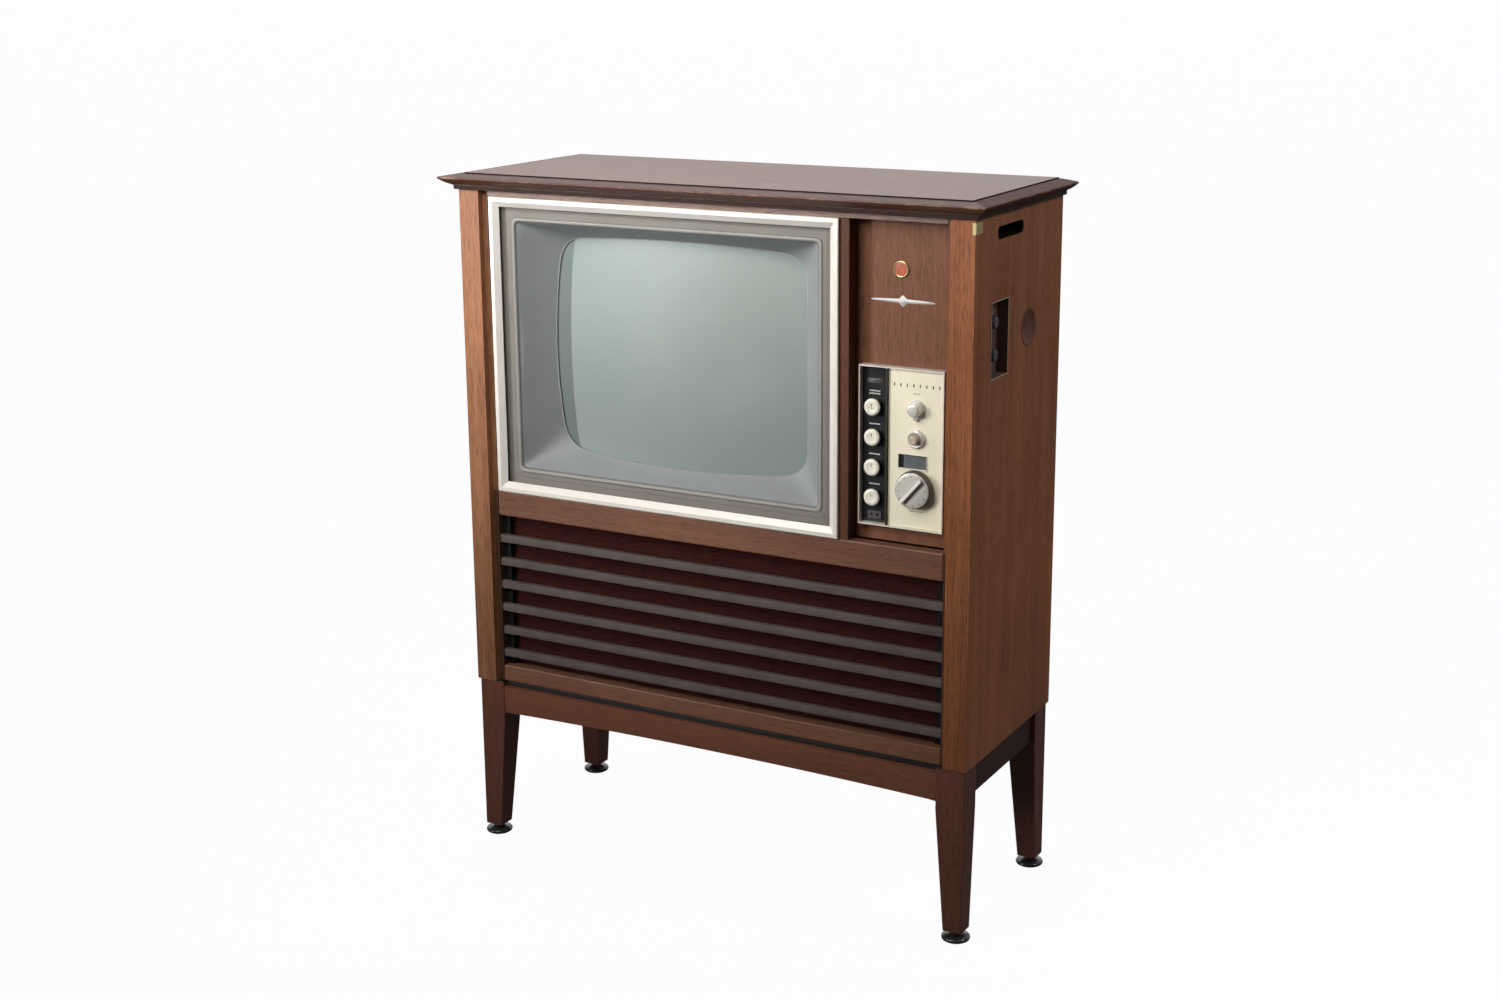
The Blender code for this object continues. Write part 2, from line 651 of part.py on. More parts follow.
def make_panels(left, right, height):
    middle = (left + BAY_SPLIT_LEFT) / 2
    holes = [circle(SHAFT_HOLE_RADIUS, STRIP_KNOB_X - middle, z - BEZEL_Z, 12) for z in strip_knob_heights()]
    width = BAY_SPLIT_LEFT - left - 2 * GAP
    prism("control_strip", [rectangle(width, height - 2 * GAP)] + holes, PANEL_THICKNESS,
          (middle, STRIP_FRONT + PANEL_THICKNESS / 2, BEZEL_Z), TO_FRONT, BLACK_PLASTIC)
    middle = (BAY_SPLIT_RIGHT + right) / 2
    width = right - BAY_SPLIT_RIGHT - 2 * GAP
    x = RIGHT_COLUMN_X - middle
    holes = [circle(SHAFT_HOLE_RADIUS, x, TONE_KNOB_Z - BEZEL_Z, 12),
             circle(BUTTON_RADIUS + 0.5, x, BUTTON_Z - BEZEL_Z, 20),
             circle(SHAFT_HOLE_RADIUS, x, CHANNEL_Z - BEZEL_Z, 12),
             rectangle(WINDOW_WIDTH, WINDOW_HEIGHT, x - 4.8, WINDOW_Z - BEZEL_Z)]
    prism("control_plate", [rectangle(width, height - 2 * GAP)] + holes, PANEL_THICKNESS,
          (middle, PLATE_FRONT + PANEL_THICKNESS / 2, BEZEL_Z), TO_FRONT, CREAM_METAL)
    pane_front = PLATE_FRONT + PANEL_THICKNESS + GAP
    window_x = RIGHT_COLUMN_X - 4.8
    box("indicator_window", (window_x - WINDOW_WIDTH / 2 - 2, window_x + WINDOW_WIDTH / 2 + 2),
        (pane_front, pane_front + 1.2),
        (WINDOW_Z - WINDOW_HEIGHT / 2 - 2, WINDOW_Z + WINDOW_HEIGHT / 2 + 2), CLEAR_GLASS)


def make_strip_knobs():
    """Four round knobs, each with its shaft through the strip."""
    front = 10.5
    radius = STRIP_KNOB_RADIUS
    profile = [(0.0, front), (radius - 3.5, front - 0.3), (radius - 1.4, front - 1.2), (radius - 0.6, front - 3.0),
               (radius, 3.5), (radius, 1.5), (SHAFT_RADIUS, 1.5), (SHAFT_RADIUS, -14.0), (0.0, -14.0)]
    for name, z in zip(STRIP_KNOB_NAMES, strip_knob_heights()):
        knob = turned(name, profile, (STRIP_KNOB_X, STRIP_FRONT, z), TO_FRONT, CREAM_PLASTIC, 24)
        knob.data.shade_smooth()


def pointer_outline(radius, tip):
    """A round skirt drawn out to a point straight below its middle."""
    touch = math.acos(radius / tip)
    steps = 20
    first = -math.pi / 2 + touch
    sweep = 2 * math.pi - 2 * touch
    points = []
    for i in range(steps + 1):
        angle = first + sweep * i / steps
        points.append((radius * math.cos(angle), radius * math.sin(angle)))
    return points + [(0.0, -tip)]


def make_tone_knob():
    cap = [(0.0, 13.5), (6.5, 13.2), (8.0, 12.0), (9.4, 3.0), (9.4, 1.2), (SHAFT_RADIUS, 1.2),
           (SHAFT_RADIUS, -12.0), (0.0, -12.0)]
    knob = turned("tone_knob", cap, (RIGHT_COLUMN_X, PLATE_FRONT, TONE_KNOB_Z), TO_FRONT, CHROME, 24)
    skirt = prism("tone_knob_skirt", [pointer_outline(11.6, 15.5)], 2.0,
                  (RIGHT_COLUMN_X, PLATE_FRONT - 1.8, TONE_KNOB_Z), TO_FRONT, CHROME)
    join(knob, skirt)


def make_button():
    bore = BUTTON_RADIUS + 0.4
    collar = [(bore, 1.5), (8.5, 3.4), (10.5, 4.6), (11.6, 4.0), (12.2, GAP), (bore, GAP)]
    ring("button_collar", collar, (RIGHT_COLUMN_X, PLATE_FRONT, BUTTON_Z), TO_FRONT, CHROME, 24)
    radius = BUTTON_RADIUS
    cap = [(0.0, 12.4), (radius - 1.6, 12.2), (radius - 0.5, 11.5), (radius, 10.2), (radius, -6.0), (0.0, -6.0)]
    turned("push_button", cap, (RIGHT_COLUMN_X, PLATE_FRONT, BUTTON_Z), TO_FRONT, CREAM_PLASTIC, 20)


def make_channel_selector():
    """The big dial with its slanting grip bar, and the numbered disc on the same shaft."""
    radius = CHANNEL_RADIUS
    dial = [(0.0, 13.2), (radius - 6, 13.2), (radius - 2.2, 12.0), (radius - 1.2, 11.0), (radius, 3.5), (radius, 1.5),
            (SHAFT_RADIUS, 1.5), (SHAFT_RADIUS, -20.0), (0.0, -20.0)]
    at = (RIGHT_COLUMN_X, PLATE_FRONT, CHANNEL_Z)
    knob = turned("channel_knob", dial, at, TO_FRONT, CREAM_METAL, 32)
    bar_length = 2 * radius - 7
    bar = prism("channel_grip_bar", [rectangle(bar_length, 5.0)], 8.0,
                (RIGHT_COLUMN_X, PLATE_FRONT - 14.4, CHANNEL_Z), TO_FRONT, CREAM_METAL)
    bar.rotation_mode = "XZY"
    bar.rotation_euler = (math.pi / 2, -CHANNEL_BAR_ANGLE, 0.0)
    join(knob, bar)
    disc = [(SHAFT_RADIUS + GAP, 0.8), (44.0, 0.8), (44.0, -0.8), (SHAFT_RADIUS + GAP, -0.8)]
    ring("channel_disc", disc, (RIGHT_COLUMN_X, BOARD_BACK + 2.4, CHANNEL_Z), TO_FRONT, BLACK_PLASTIC, 32)
    box("tuner", (RIGHT_COLUMN_X - 36, RIGHT_COLUMN_X + 34), (50.0, 168.0), (CHANNEL_Z - 42, CHANNEL_Z + 42), STEEL, 1.5)


# ---- chassis --------------------------------------------------------------------

def make_chassis():
    low = BODY_BOTTOM + 12 + GAP
    outer = ((-300.0, 260.0), (96.0, 276.0), (low, CHASSIS_TOP))
    tray = box("chassis", *outer, STEEL)
    inner = ((-298.0, 258.0), (98.0, 274.0), (low - 2, CHASSIS_TOP - 2))
    cut(tray, box("chassis_hollow", *inner, STEEL))
    base = CHASSIS_TOP + GAP
    core = box("power_transformer", (-284.0, -198.0), (150.0, 226.0), (base, base + 70), BLACK_PAINT, 1.0)
    winding = box("transformer_winding", (-268.0, -214.0), (138.0, 238.0), (base + 14, base + 56), COPPER_COIL, 6.0)
    join(core, winding)


# ---- right side controls --------------------------------------------------------

def make_side_controls():
    tray = box("side_control_plate", (SIDE_TRAY_FLOOR - 2, SIDE_X + 0.6),
               (SIDE_TRAY_Y - SIDE_TRAY_WIDTH / 2, SIDE_TRAY_Y + SIDE_TRAY_WIDTH / 2),
               (SIDE_TRAY_Z - SIDE_TRAY_HEIGHT / 2, SIDE_TRAY_Z + SIDE_TRAY_HEIGHT / 2), BLACK_PLASTIC)
    wall = 1.6
    pocket = rectangle(SIDE_TRAY_WIDTH - 2 * wall, SIDE_TRAY_HEIGHT - 2 * wall)
    cut(tray, prism("side_tray_pocket", [pocket], 30.0, (SIDE_TRAY_FLOOR + 15, SIDE_TRAY_Y, SIDE_TRAY_Z),
                    TO_RIGHT, BLACK_PLASTIC))
    profile = [(0.0, 11.5), (6.2, 11.3), (7.6, 10.4), (SIDE_KNOB_RADIUS, 3.0), (SIDE_KNOB_RADIUS, 1.2),
               (SHAFT_RADIUS, 1.2), (SHAFT_RADIUS, -12.0), (0.0, -12.0)]
    for word, z in (("upper", SIDE_KNOB_UPPER_Z), ("lower", SIDE_KNOB_LOWER_Z)):
        cut(tray, prism("side_shaft_cut_" + word, [circle(SHAFT_HOLE_RADIUS, steps=16)], 12.0,
                        (SIDE_TRAY_FLOOR, SIDE_KNOB_Y, z), TO_RIGHT, BLACK_PLASTIC))
        turned("side_knob_" + word, profile, (SIDE_TRAY_FLOOR, SIDE_KNOB_Y, z), TO_RIGHT, BLACK_PLASTIC, 20)


def make_side_trim():
    dish = [(0.0, -3.4), (12.0, -3.0), (20.0, -1.6), (23.0, 0.0), (CAP_RADIUS, 0.4), (CAP_RADIUS, -9.0), (0.0, -9.0)]
    turned("side_cap", dish, (SIDE_X, CAP_Y, CAP_Z), TO_RIGHT, BROWN_PLASTIC, 28)
    outline = [(SIDE_X - 3.5, -1.1), (SIDE_X + 1.1, -1.1), (SIDE_X + 1.1, 19.0), (SIDE_X + GAP, 19.0),
               (SIDE_X + GAP, -GAP), (SIDE_X - 3.5, -GAP)]
    prism("corner_clip", [outline], 14.5, (0.0, 0.0, 938.2), UP, BRASS)


# ---- legs -----------------------------------------------------------------------

def leg_section(side_x, side_y, width, z):
    """A square whose outer corner stays over the same point while its width changes."""
    outer_x = SIDE_X - LEG_INSET
    outer_y = LEG_INSET if side_y < 0 else BODY_DEPTH - LEG_INSET
    inner_x = outer_x - width
    inner_y = outer_y - side_y * width
    corners = [(outer_x, outer_y), (inner_x, outer_y), (inner_x, inner_y), (outer_x, inner_y)]
    return [(side_x * x, y, z) for x, y in corners]


def make_legs():
    glide = [(0.0, LEG_BOTTOM + STUD_LENGTH), (STUD_RADIUS, LEG_BOTTOM + STUD_LENGTH), (STUD_RADIUS, 12.0), (7.0, 11.0),
             (8.5, 9.0), (GLIDE_RADIUS - 2, 7.0), (GLIDE_RADIUS, 4.5), (GLIDE_RADIUS, 2.5), (GLIDE_RADIUS - 2.5, 0.0),
             (0.0, 0.0)]
    for side_y, end in ((-1, "front"), (1, "rear")):
        for side_x, word in ((-1, "left"), (1, "right")):
            name = end + "_" + word
            sections = [leg_section(side_x, side_y, LEG_TOP_WIDTH, BODY_BOTTOM - GAP),
                        leg_section(side_x, side_y, LEG_TOP_WIDTH, LEG_TAPER_Z),
                        leg_section(side_x, side_y, LEG_FOOT_WIDTH, LEG_BOTTOM)]
            leg = loft("leg_" + name, sections, (0.0, 0.0, 0.0), DARK_TEAK)
            round_edges(leg, 1.2, 2)
            foot = sections[-1]
            x = sum(point[0] for point in foot) / 4
            y = sum(point[1] for point in foot) / 4
            bore = [(0.0, STUD_LENGTH + 2), (STUD_RADIUS + GAP, STUD_LENGTH + 2), (STUD_RADIUS + GAP, -8.0), (0.0, -8.0)]
            cut(leg, turned("stud_bore_" + name, bore, (x, y, LEG_BOTTOM), UP, STEEL, 12))
            turned("glide_" + name, glide, (x, y, 0.0), UP, RUBBER, 20)


def arched_outline(length):
    """Side view of an apron, with a low arch along its lower edge."""
    half = length / 2
    steps = 12
    points = [(half, BODY_BOTTOM - GAP), (-half, BODY_BOTTOM - GAP), (-half, APRON_BOTTOM)]
    for i in range(steps + 1):
        x = (half - 10) * (2 * i / steps - 1)
        points.append((x, APRON_BOTTOM + 1 + APRON_ARCH * (1 - (x / (half - 10)) ** 2)))
    return points + [(half, APRON_BOTTOM)]


def make_aprons():
    """Four rails between the legs. The front and back ones are stepped back under the cabinet."""
    leg_inner_x = SIDE_X - LEG_INSET - LEG_TOP_WIDTH - GAP
    for name, outer, step in (("apron_front", LEG_INSET + 1.5, 1), ("apron_rear", BODY_DEPTH - LEG_INSET - 1.5, -1)):
        middle_y = outer + step * APRON_THICKNESS / 2
        apron = prism(name, [arched_outline(2 * leg_inner_x)], APRON_THICKNESS, (0.0, middle_y, 0.0), TO_FRONT, DARK_TEAK)
        span_y = sorted((outer - step * 5, outer + step * 8))
        cut(apron, box(name + "_step", (-SIDE_X, SIDE_X), span_y, (APRON_TOP, BODY_BOTTOM + 5), DARK_TEAK))
    leg_inner_y = LEG_INSET + LEG_TOP_WIDTH + GAP
    length = BODY_DEPTH - 2 * leg_inner_y
    for side, word in ((-1, "left"), (1, "right")):
        middle_x = side * (SIDE_X - SIDE_APRON_INSET - APRON_THICKNESS / 2)
        apron = prism("apron_" + word, [rectangle(length, BODY_BOTTOM - GAP - APRON_BOTTOM)], APRON_THICKNESS,
                      (middle_x, BODY_DEPTH / 2, (BODY_BOTTOM - GAP + APRON_BOTTOM) / 2), TO_RIGHT, BLACK_PAINT)
        round_edges(apron, 0.8, 1)


# ---- back -----------------------------------------------------------------------

def vent_rows(middle_z):
    """Slots in two bands, above and below the picture tube."""
    slots = []
    for z in (905.0, 888.0, 871.0, 350.0, 333.0, 316.0):
        for i in range(11):
            x = -280.0 + 56.0 * i
            if abs(x - INLET_X) > 50 or abs(z - INLET_Z) > 40:
                slots.append(rectangle(42.0, 6.0, x, z - middle_z))
    return slots


def make_back():
    bottom = BODY_BOTTOM + GAP
    top = BODY_TOP - GAP
    middle_z = (bottom + top) / 2
    holes = [circle(NECK_HOLE_RADIUS, SCREEN_X, SCREEN_Z - middle_z, 28),
             circle(INLET_RADIUS, INLET_X, INLET_Z - middle_z, 20),
             rectangle(54.0, 18.0, TERMINAL_X, TERMINAL_Z - middle_z)]
    prism("rear_cover", [rectangle(2 * INSIDE_X, top - bottom)] + holes + vent_rows(middle_z),
          COVER_BACK - COVER_FRONT, (0.0, (COVER_FRONT + COVER_BACK) / 2, middle_z), TO_FRONT, HARDBOARD)
    depth = NECK_CUP_END - COVER_BACK
    cup = [(0.0, depth), (34.0, depth), (38.0, depth - 3), (45.0, 4.0), (58.0, 2.0), (58.0, GAP), (43.0, GAP),
           (36.0, depth - 5), (33.0, depth - 2.5), (0.0, depth - 2.5)]
    turned("neck_cup", cup, (SCREEN_X, COVER_BACK, SCREEN_Z), TO_BACK, BLACK_PLASTIC, 28)
    thickness = COVER_BACK - COVER_FRONT
    bush = [(4.0, 4.0), (9.0, 4.0), (11.0, 2.5), (11.0, GAP), (INLET_RADIUS - GAP, GAP),
            (INLET_RADIUS - GAP, -thickness - GAP), (10.5, -thickness - GAP), (10.5, -thickness - 3), (4.0, -thickness - 3)]
    ring("cord_inlet", bush, (INLET_X, COVER_BACK, INLET_Z), TO_BACK, RUBBER, 16)
    terminal = box("antenna_terminal", (TERMINAL_X - 34, TERMINAL_X + 34), (COVER_BACK + GAP, COVER_BACK + 4.3),
                   (TERMINAL_Z - 15, TERMINAL_Z + 15), BROWN_PLASTIC, 1.0)
    screw = [(0.0, 5.0), (3.2, 5.0), (4.0, 4.2), (4.0, -1.0), (0.0, -1.0)]
    for i in range(4):
        x = TERMINAL_X - 22.5 + 15 * i
        join(terminal, turned("terminal_screw_%d" % (i + 1), screw, (x, COVER_BACK + 3.8, TERMINAL_Z), TO_BACK, BRASS, 10))


make_side_panels()
make_rails()
make_control_board()
make_top()
make_screen_frame()
make_glass()
make_mask()
make_tube()
make_yoke_and_socket()
make_grille()
make_speakers()
make_panels(*make_bezel())
make_strip_knobs()
make_tone_knob()
make_button()
make_channel_selector()
make_chassis()
make_side_controls()
make_side_trim()
make_legs()
make_aprons()
make_back()
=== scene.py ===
"""Looks of the console television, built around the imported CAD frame.

Lengths are in millimetres: x runs right from the middle of the cabinet, y runs back from
the front faces of the stiles, z runs up from the floor. at() turns them into the frame's metres.
Materials work in metres.
"""

import math

import bmesh
import bpy
from mathutils import Matrix, Vector


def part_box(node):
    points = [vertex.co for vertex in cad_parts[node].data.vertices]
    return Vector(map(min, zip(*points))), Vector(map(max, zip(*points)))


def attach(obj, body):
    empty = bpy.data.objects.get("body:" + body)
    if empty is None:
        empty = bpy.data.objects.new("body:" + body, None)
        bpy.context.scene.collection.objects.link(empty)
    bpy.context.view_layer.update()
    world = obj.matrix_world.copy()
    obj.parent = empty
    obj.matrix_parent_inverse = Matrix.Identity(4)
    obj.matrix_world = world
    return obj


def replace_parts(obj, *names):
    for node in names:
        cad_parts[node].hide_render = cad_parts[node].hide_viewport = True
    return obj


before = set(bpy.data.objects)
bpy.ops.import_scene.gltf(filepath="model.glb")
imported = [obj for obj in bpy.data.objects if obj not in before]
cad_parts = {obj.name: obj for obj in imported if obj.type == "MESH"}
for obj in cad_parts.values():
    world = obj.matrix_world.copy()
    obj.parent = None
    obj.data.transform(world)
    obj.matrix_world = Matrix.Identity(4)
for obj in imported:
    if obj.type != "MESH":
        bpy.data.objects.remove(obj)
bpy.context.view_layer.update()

MM = 0.001
STILE_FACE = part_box("side_panel_right")[0].y


def at(x, y, z):
    """A point in the frame's metres."""
    return Vector((x * MM, STILE_FACE + y * MM, z * MM))


def spans(node):
    """The x, y and z spans of a CAD node, in millimetres."""
    low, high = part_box(node)
    return ((low.x / MM, high.x / MM),
            ((low.y - STILE_FACE) / MM, (high.y - STILE_FACE) / MM),
            (low.z / MM, high.z / MM))


def middle(span):
    return (span[0] + span[1]) / 2


def half(span):
    return (span[1] - span[0]) / 2


# ---- materials ------------------------------------------------------------------

def feed(tree, socket, value):
    """Links a socket to another, or sets it. A colour may be given without its alpha."""
    if isinstance(value, bpy.types.NodeSocket):
        tree.links.new(value, socket)
    elif socket.type == "RGBA" and len(value) == 3:
        socket.default_value = (*value, 1.0)
    else:
        socket.default_value = value


def add_node(tree, kind, inputs=None, **settings):
    """A new node. inputs gives its sockets by name or number."""
    made = tree.nodes.new(kind)
    for key, value in settings.items():
        setattr(made, key, value)
    for key, value in (inputs or {}).items():
        feed(tree, made.inputs[key], value)
    return made


class Recipe:
    """A material being put together from nodes."""

    def __init__(self, name):
        self.material = bpy.data.materials.new(name)
        self.material.use_nodes = True
        self.tree = self.material.node_tree
        self.shader = self.tree.nodes["Principled BSDF"]
        self.place = self.add("ShaderNodeTexCoord").outputs["Object"]

    def add(self, kind, inputs=None, **settings):
        return add_node(self.tree, kind, inputs, **settings)

    def set(self, **inputs):
        """Sets the main shader's sockets, named with _ for spaces, and gives the material."""
        for key, value in inputs.items():
            feed(self.tree, self.shader.inputs[key.replace("_", " ")], value)
        return self.material

    def blend(self, share, first, second):
        """A mix of two shader nodes."""
        return self.add("ShaderNodeMixShader", {0: share, 1: first.outputs[0], 2: second.outputs[0]})

    def show(self, shader):
        """Makes another shader node the surface, and gives the material."""
        feed(self.tree, self.tree.nodes["Material Output"].inputs["Surface"], shader.outputs[0])
        return self.material

    def stretched(self, scale, shift=(0.0, 0.0, 0.0)):
        inputs = {"Vector": self.place, "Scale": scale, "Location": shift}
        return self.add("ShaderNodeMapping", inputs).outputs["Vector"]

    def noise(self, scale, detail=4.0, roughness=0.55, vector=None, distortion=0.0):
        inputs = {"Vector": vector or self.place, "Scale": scale, "Detail": detail,
                  "Roughness": roughness, "Distortion": distortion}
        return self.add("ShaderNodeTexNoise", inputs).outputs["Fac"]

    def ramp(self, value, *stops):
        """A colour for each stop (position, colour), or a grey where the colour is a number."""
        made = self.add("ShaderNodeValToRGB", {"Fac": value})
        for element, (position, colour) in zip(made.color_ramp.elements, stops):
            element.position = position
            if isinstance(colour, float):
                colour = (colour, colour, colour)
            element.color = (*colour, 1.0)
        return made.outputs["Color"]

    def mix(self, share, first, second, blend="MIX"):
        inputs = {0: share, 6: first, 7: second}
        return self.add("ShaderNodeMix", inputs, data_type="RGBA", blend_type=blend).outputs[2]

    def maths(self, operation, first, second=0.0):
        return self.add("ShaderNodeMath", {0: first, 1: second}, operation=operation).outputs[0]

    def both(self, first, second):
        return self.maths("MULTIPLY", first, second)

    def axis(self, index):
        return self.add("ShaderNodeSeparateXYZ", {0: self.place}).outputs[index]

    def past(self, index, start):
        return self.maths("GREATER_THAN", self.axis(index), start)

    def before(self, index, end):
        return self.maths("LESS_THAN", self.axis(index), end)

    def nearer(self, reach):
        """1 where the place is less than reach from the middle of the cabinet."""
        return self.maths("LESS_THAN", self.maths("ABSOLUTE", self.axis(0)), reach)

    def between(self, value, low, high):
        """value, which runs from 0 to 1, moved to run from low to high."""
        inputs = {"Value": value, "To Min": low, "To Max": high}
        return self.add("ShaderNodeMapRange", inputs).outputs["Result"]

    def bump(self, height, distance, strength):
        inputs = {"Height": height, "Distance": distance, "Strength": strength}
        return self.add("ShaderNodeBump", inputs).outputs["Normal"]

    def attribute(self, name):
        return self.add("ShaderNodeAttribute", attribute_name=name).outputs["Fac"]


PANEL_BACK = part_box("side_panel_right")[1].y
SIDE_HALF = 381.5 * MM
REVEAL_HALF = 350.2 * MM
STILE_DEPTH = 28 * MM
RAIL_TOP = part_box("middle_rail")[1].z
# Height above which the legs are painted black: a painted shadow line under the cabinet.
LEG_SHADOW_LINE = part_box("leg_front_left")[1].z - 1.6 * MM
# Near-black used as painted shade on the side panels.
PAINTED_SHADE = (0.014, 0.009, 0.008)
TEAK_PORE = (0.060, 0.021, 0.012)
LEG_PORE = (0.028, 0.011, 0.009)
PALE_WEAR_AND_HIGHLIGHT = (0.42, 0.26, 0.18)


def wood(name, axis, light, dark, pore=TEAK_PORE, gloss=0.4, seed=0.0, wear_and_highlight=None, coat=0.1,
         band=62.0, panel=False, sheen=0.4, shadow_line=None):
    """Lacquered open-pored wood: ribbon bands, fine streaks and short dark pores along the grain.

    A side panel gets painted shade: it is darkened inside the cabinet, in the reveal behind its stile
    (more below the middle rail), and on its stile's front towards its foot. The last argument is the
    height above which the wood is painted black, a painted shadow line on top of a leg.
    """
    def along(across, length):
        return tuple(length if i == axis else across for i in range(3))

    r = Recipe(name)
    shift = (seed, seed * 1.7, seed * 0.6)
    bands = r.noise(1.0, 3.0, 0.5, r.stretched(along(band, 1.6), shift), 0.35)
    streaks = r.noise(1.0, 6.0, 0.65, r.stretched(along(420.0, 7.0), shift), 0.2)
    fibres = r.noise(1.0, 2.0, 0.5, r.stretched(along(1500.0, 55.0), shift))
    clouds = r.noise(5.0, 3.0, 0.5, r.stretched((1.0, 1.0, 1.0), shift))
    tone = r.mix(0.55, r.ramp(bands, (0.3, 0.0), (0.7, 1.0)), r.ramp(streaks, (0.32, 0.0), (0.68, 1.0)))
    tone = r.mix(0.25, tone, r.ramp(clouds, (0.3, 0.0), (0.7, 1.0)))
    colour = r.mix(tone, dark, light)
    pores = r.ramp(fibres, (0.36, 1.0), (0.47, 0.0))
    colour = r.mix(r.both(pores, 0.6), colour, pore)
    if wear_and_highlight:
        # Pale patches where the wear attribute is high: worn wood at the moulding's corners, and along its
        # nose partly a painted highlight.
        rubbed_and_highlit = r.ramp(r.noise(38.0, 5.0, 0.7), (0.5, 0.0), (0.62, 1.0))
        colour = r.mix(r.both(rubbed_and_highlit, r.attribute("wear")), colour, wear_and_highlight)
    if panel:
        # Painted shade: the panel's inner faces behind the stile are darkened, for the dark inside of the
        # cabinet.
        behind = r.both(r.past(1, STILE_FACE + STILE_DEPTH), r.before(1, PANEL_BACK - 0.5 * MM))
        colour = r.mix(r.both(r.nearer(SIDE_HALF), behind), colour, PAINTED_SHADE)
        # Painted shade in the reveal behind the stile, darker below the middle rail than above it.
        reveal = r.both(r.nearer(REVEAL_HALF), r.past(1, STILE_FACE + 0.8 * MM))
        depth = r.maths("ADD", 0.3, r.both(0.5, r.before(2, RAIL_TOP)))
        colour = r.mix(r.both(reveal, depth), colour, PAINTED_SHADE)
        # Painted shade on the stile's front, darker towards its foot as the light falls off.
        front = r.before(1, STILE_FACE + 1.2 * MM)
        colour = r.mix(r.both(front, r.ramp(r.axis(2), (0.30, 0.36), (0.72, 0.0))), colour, PAINTED_SHADE)
    # Painted shadow: black above the given height, a shadow line on top of a leg.
    if shadow_line:
        colour = r.mix(r.past(2, shadow_line), colour, (0.010, 0.007, 0.006))
    height = r.maths("SUBTRACT", streaks, pores)
    return r.set(Base_Color=colour, Roughness=r.between(streaks, gloss - 0.06, gloss + 0.1),
                 Normal=r.bump(height, 0.00012, 0.5), Coat_Weight=coat, Coat_Roughness=0.25,
                 Specular_IOR_Level=sheen)


def board(name, light, dark):
    """Raw pressed board: fine felted fibres."""
    r = Recipe(name)
    fibres = r.noise(1.0, 6.0, 0.7, r.stretched((900.0, 900.0, 500.0)))
    clouds = r.noise(14.0, 4.0, 0.6)
    colour = r.mix(r.ramp(fibres, (0.3, 0.0), (0.7, 1.0)), dark, light)
    colour = r.mix(r.ramp(clouds, (0.42, 0.0), (0.75, 0.35)), colour, dark)
    return r.set(Base_Color=colour, Roughness=r.between(clouds, 0.7, 0.9),
                 Normal=r.bump(fibres, 0.0002, 0.6))


def shades(colour, *steps):
    """The colour made lighter or darker by each step."""
    return [tuple(c * (1 + step) for c in colour) for step in steps]


def paint(name, colour, roughness, fleck=0.12, texture=0.00008, sheen=0.5):
    """Painted wood or metal with a faint orange peel and uneven sheen."""
    r = Recipe(name)
    clouds = r.noise(22.0, 5.0, 0.6)
    peel = r.noise(650.0, 2.0, 0.5)
    low, high = shades(colour, -1.6 * fleck, 1.4 * fleck)
    return r.set(Base_Color=r.ramp(clouds, (0.25, low), (0.75, high)),
                 Roughness=r.between(clouds, roughness - 0.08, roughness + 0.1),
                 Normal=r.bump(peel, texture, 0.5), Specular_IOR_Level=sheen)


def brushed(name, colour, roughness, scale, metallic=1.0, wear=0.1, dark_box=None):
    """Metal with fine lines along one direction, given by the texture scale across and along.

    dark_box bounds in x and z, in metres, a patch that is painted dark.
    """
    r = Recipe(name)
    lines = r.noise(1.0, 3.0, 0.6, r.stretched(scale))
    clouds = r.noise(26.0, 4.0, 0.6)
    colour = r.mix(r.ramp(lines, (0.3, 0.0), (0.7, 1.0)), shades(colour, -wear)[0], colour)
    colour = r.mix(1.0, colour, r.ramp(clouds, (0.35, 1 - wear), (0.7, 1.0)), "MULTIPLY")
    if dark_box:
        band = 1.0
        for axis, (start, end) in zip((0, 2), dark_box):
            band = r.both(r.both(band, r.past(axis, start)), r.before(axis, end))
        colour = r.mix(band, colour, (0.05, 0.042, 0.036))
    return r.set(Base_Color=colour, Metallic=metallic,
                 Roughness=r.between(lines, roughness - 0.06, roughness + 0.08),
                 Normal=r.bump(lines, 0.00003, 0.4))


def plastic(name, colour, roughness, speckle=0.06, coat=0.2, rim=None):
    """Moulded plastic with a very fine texture and slight yellowing or dust in patches.

    rim is the x, in metres, beyond which a raised edge is coloured pale: a painted highlight along the edge.
    """
    r = Recipe(name)
    clouds = r.noise(60.0, 4.0, 0.6)
    grain = r.noise(2400.0, 2.0, 0.5)
    low, high = shades(colour, -1.2 * speckle, 0.8 * speckle)
    base = r.ramp(clouds, (0.3, low), (0.7, high))
    # Painted highlight: the raised edge beyond rim is coloured pale.
    if rim:
        base = r.mix(r.past(0, rim), base, (0.42, 0.30, 0.22))
    return r.set(Base_Color=base, Roughness=r.between(clouds, roughness - 0.05, roughness + 0.08),
                 Normal=r.bump(grain, 0.00003, 0.4), Coat_Weight=coat, Coat_Roughness=0.12)


def cloth(name, light, dark):
    """Coarse speaker cloth: crossing threads with odd thick ones."""
    r = Recipe(name)
    inputs = {"Vector": r.place, "Scale": 210.0, "Distortion": 1.2, "Detail": 1.0, "Detail Scale": 0.3}
    weave = r.maths("MAXIMUM", *(r.add("ShaderNodeTexWave", inputs, wave_type="BANDS",
                                       bands_direction=way).outputs["Fac"] for way in "XZ"))
    slubs = r.noise(1.0, 4.0, 0.7, r.stretched((60.0, 60.0, 700.0)))
    colour = r.mix(r.ramp(slubs, (0.45, 0.0), (0.65, 0.7)), r.mix(weave, dark, light), dark)
    return r.set(Base_Color=colour, Roughness=r.between(slubs, 0.85, 0.95),
                 Normal=r.bump(weave, 0.0006, 0.8), Specular_IOR_Level=0.1)


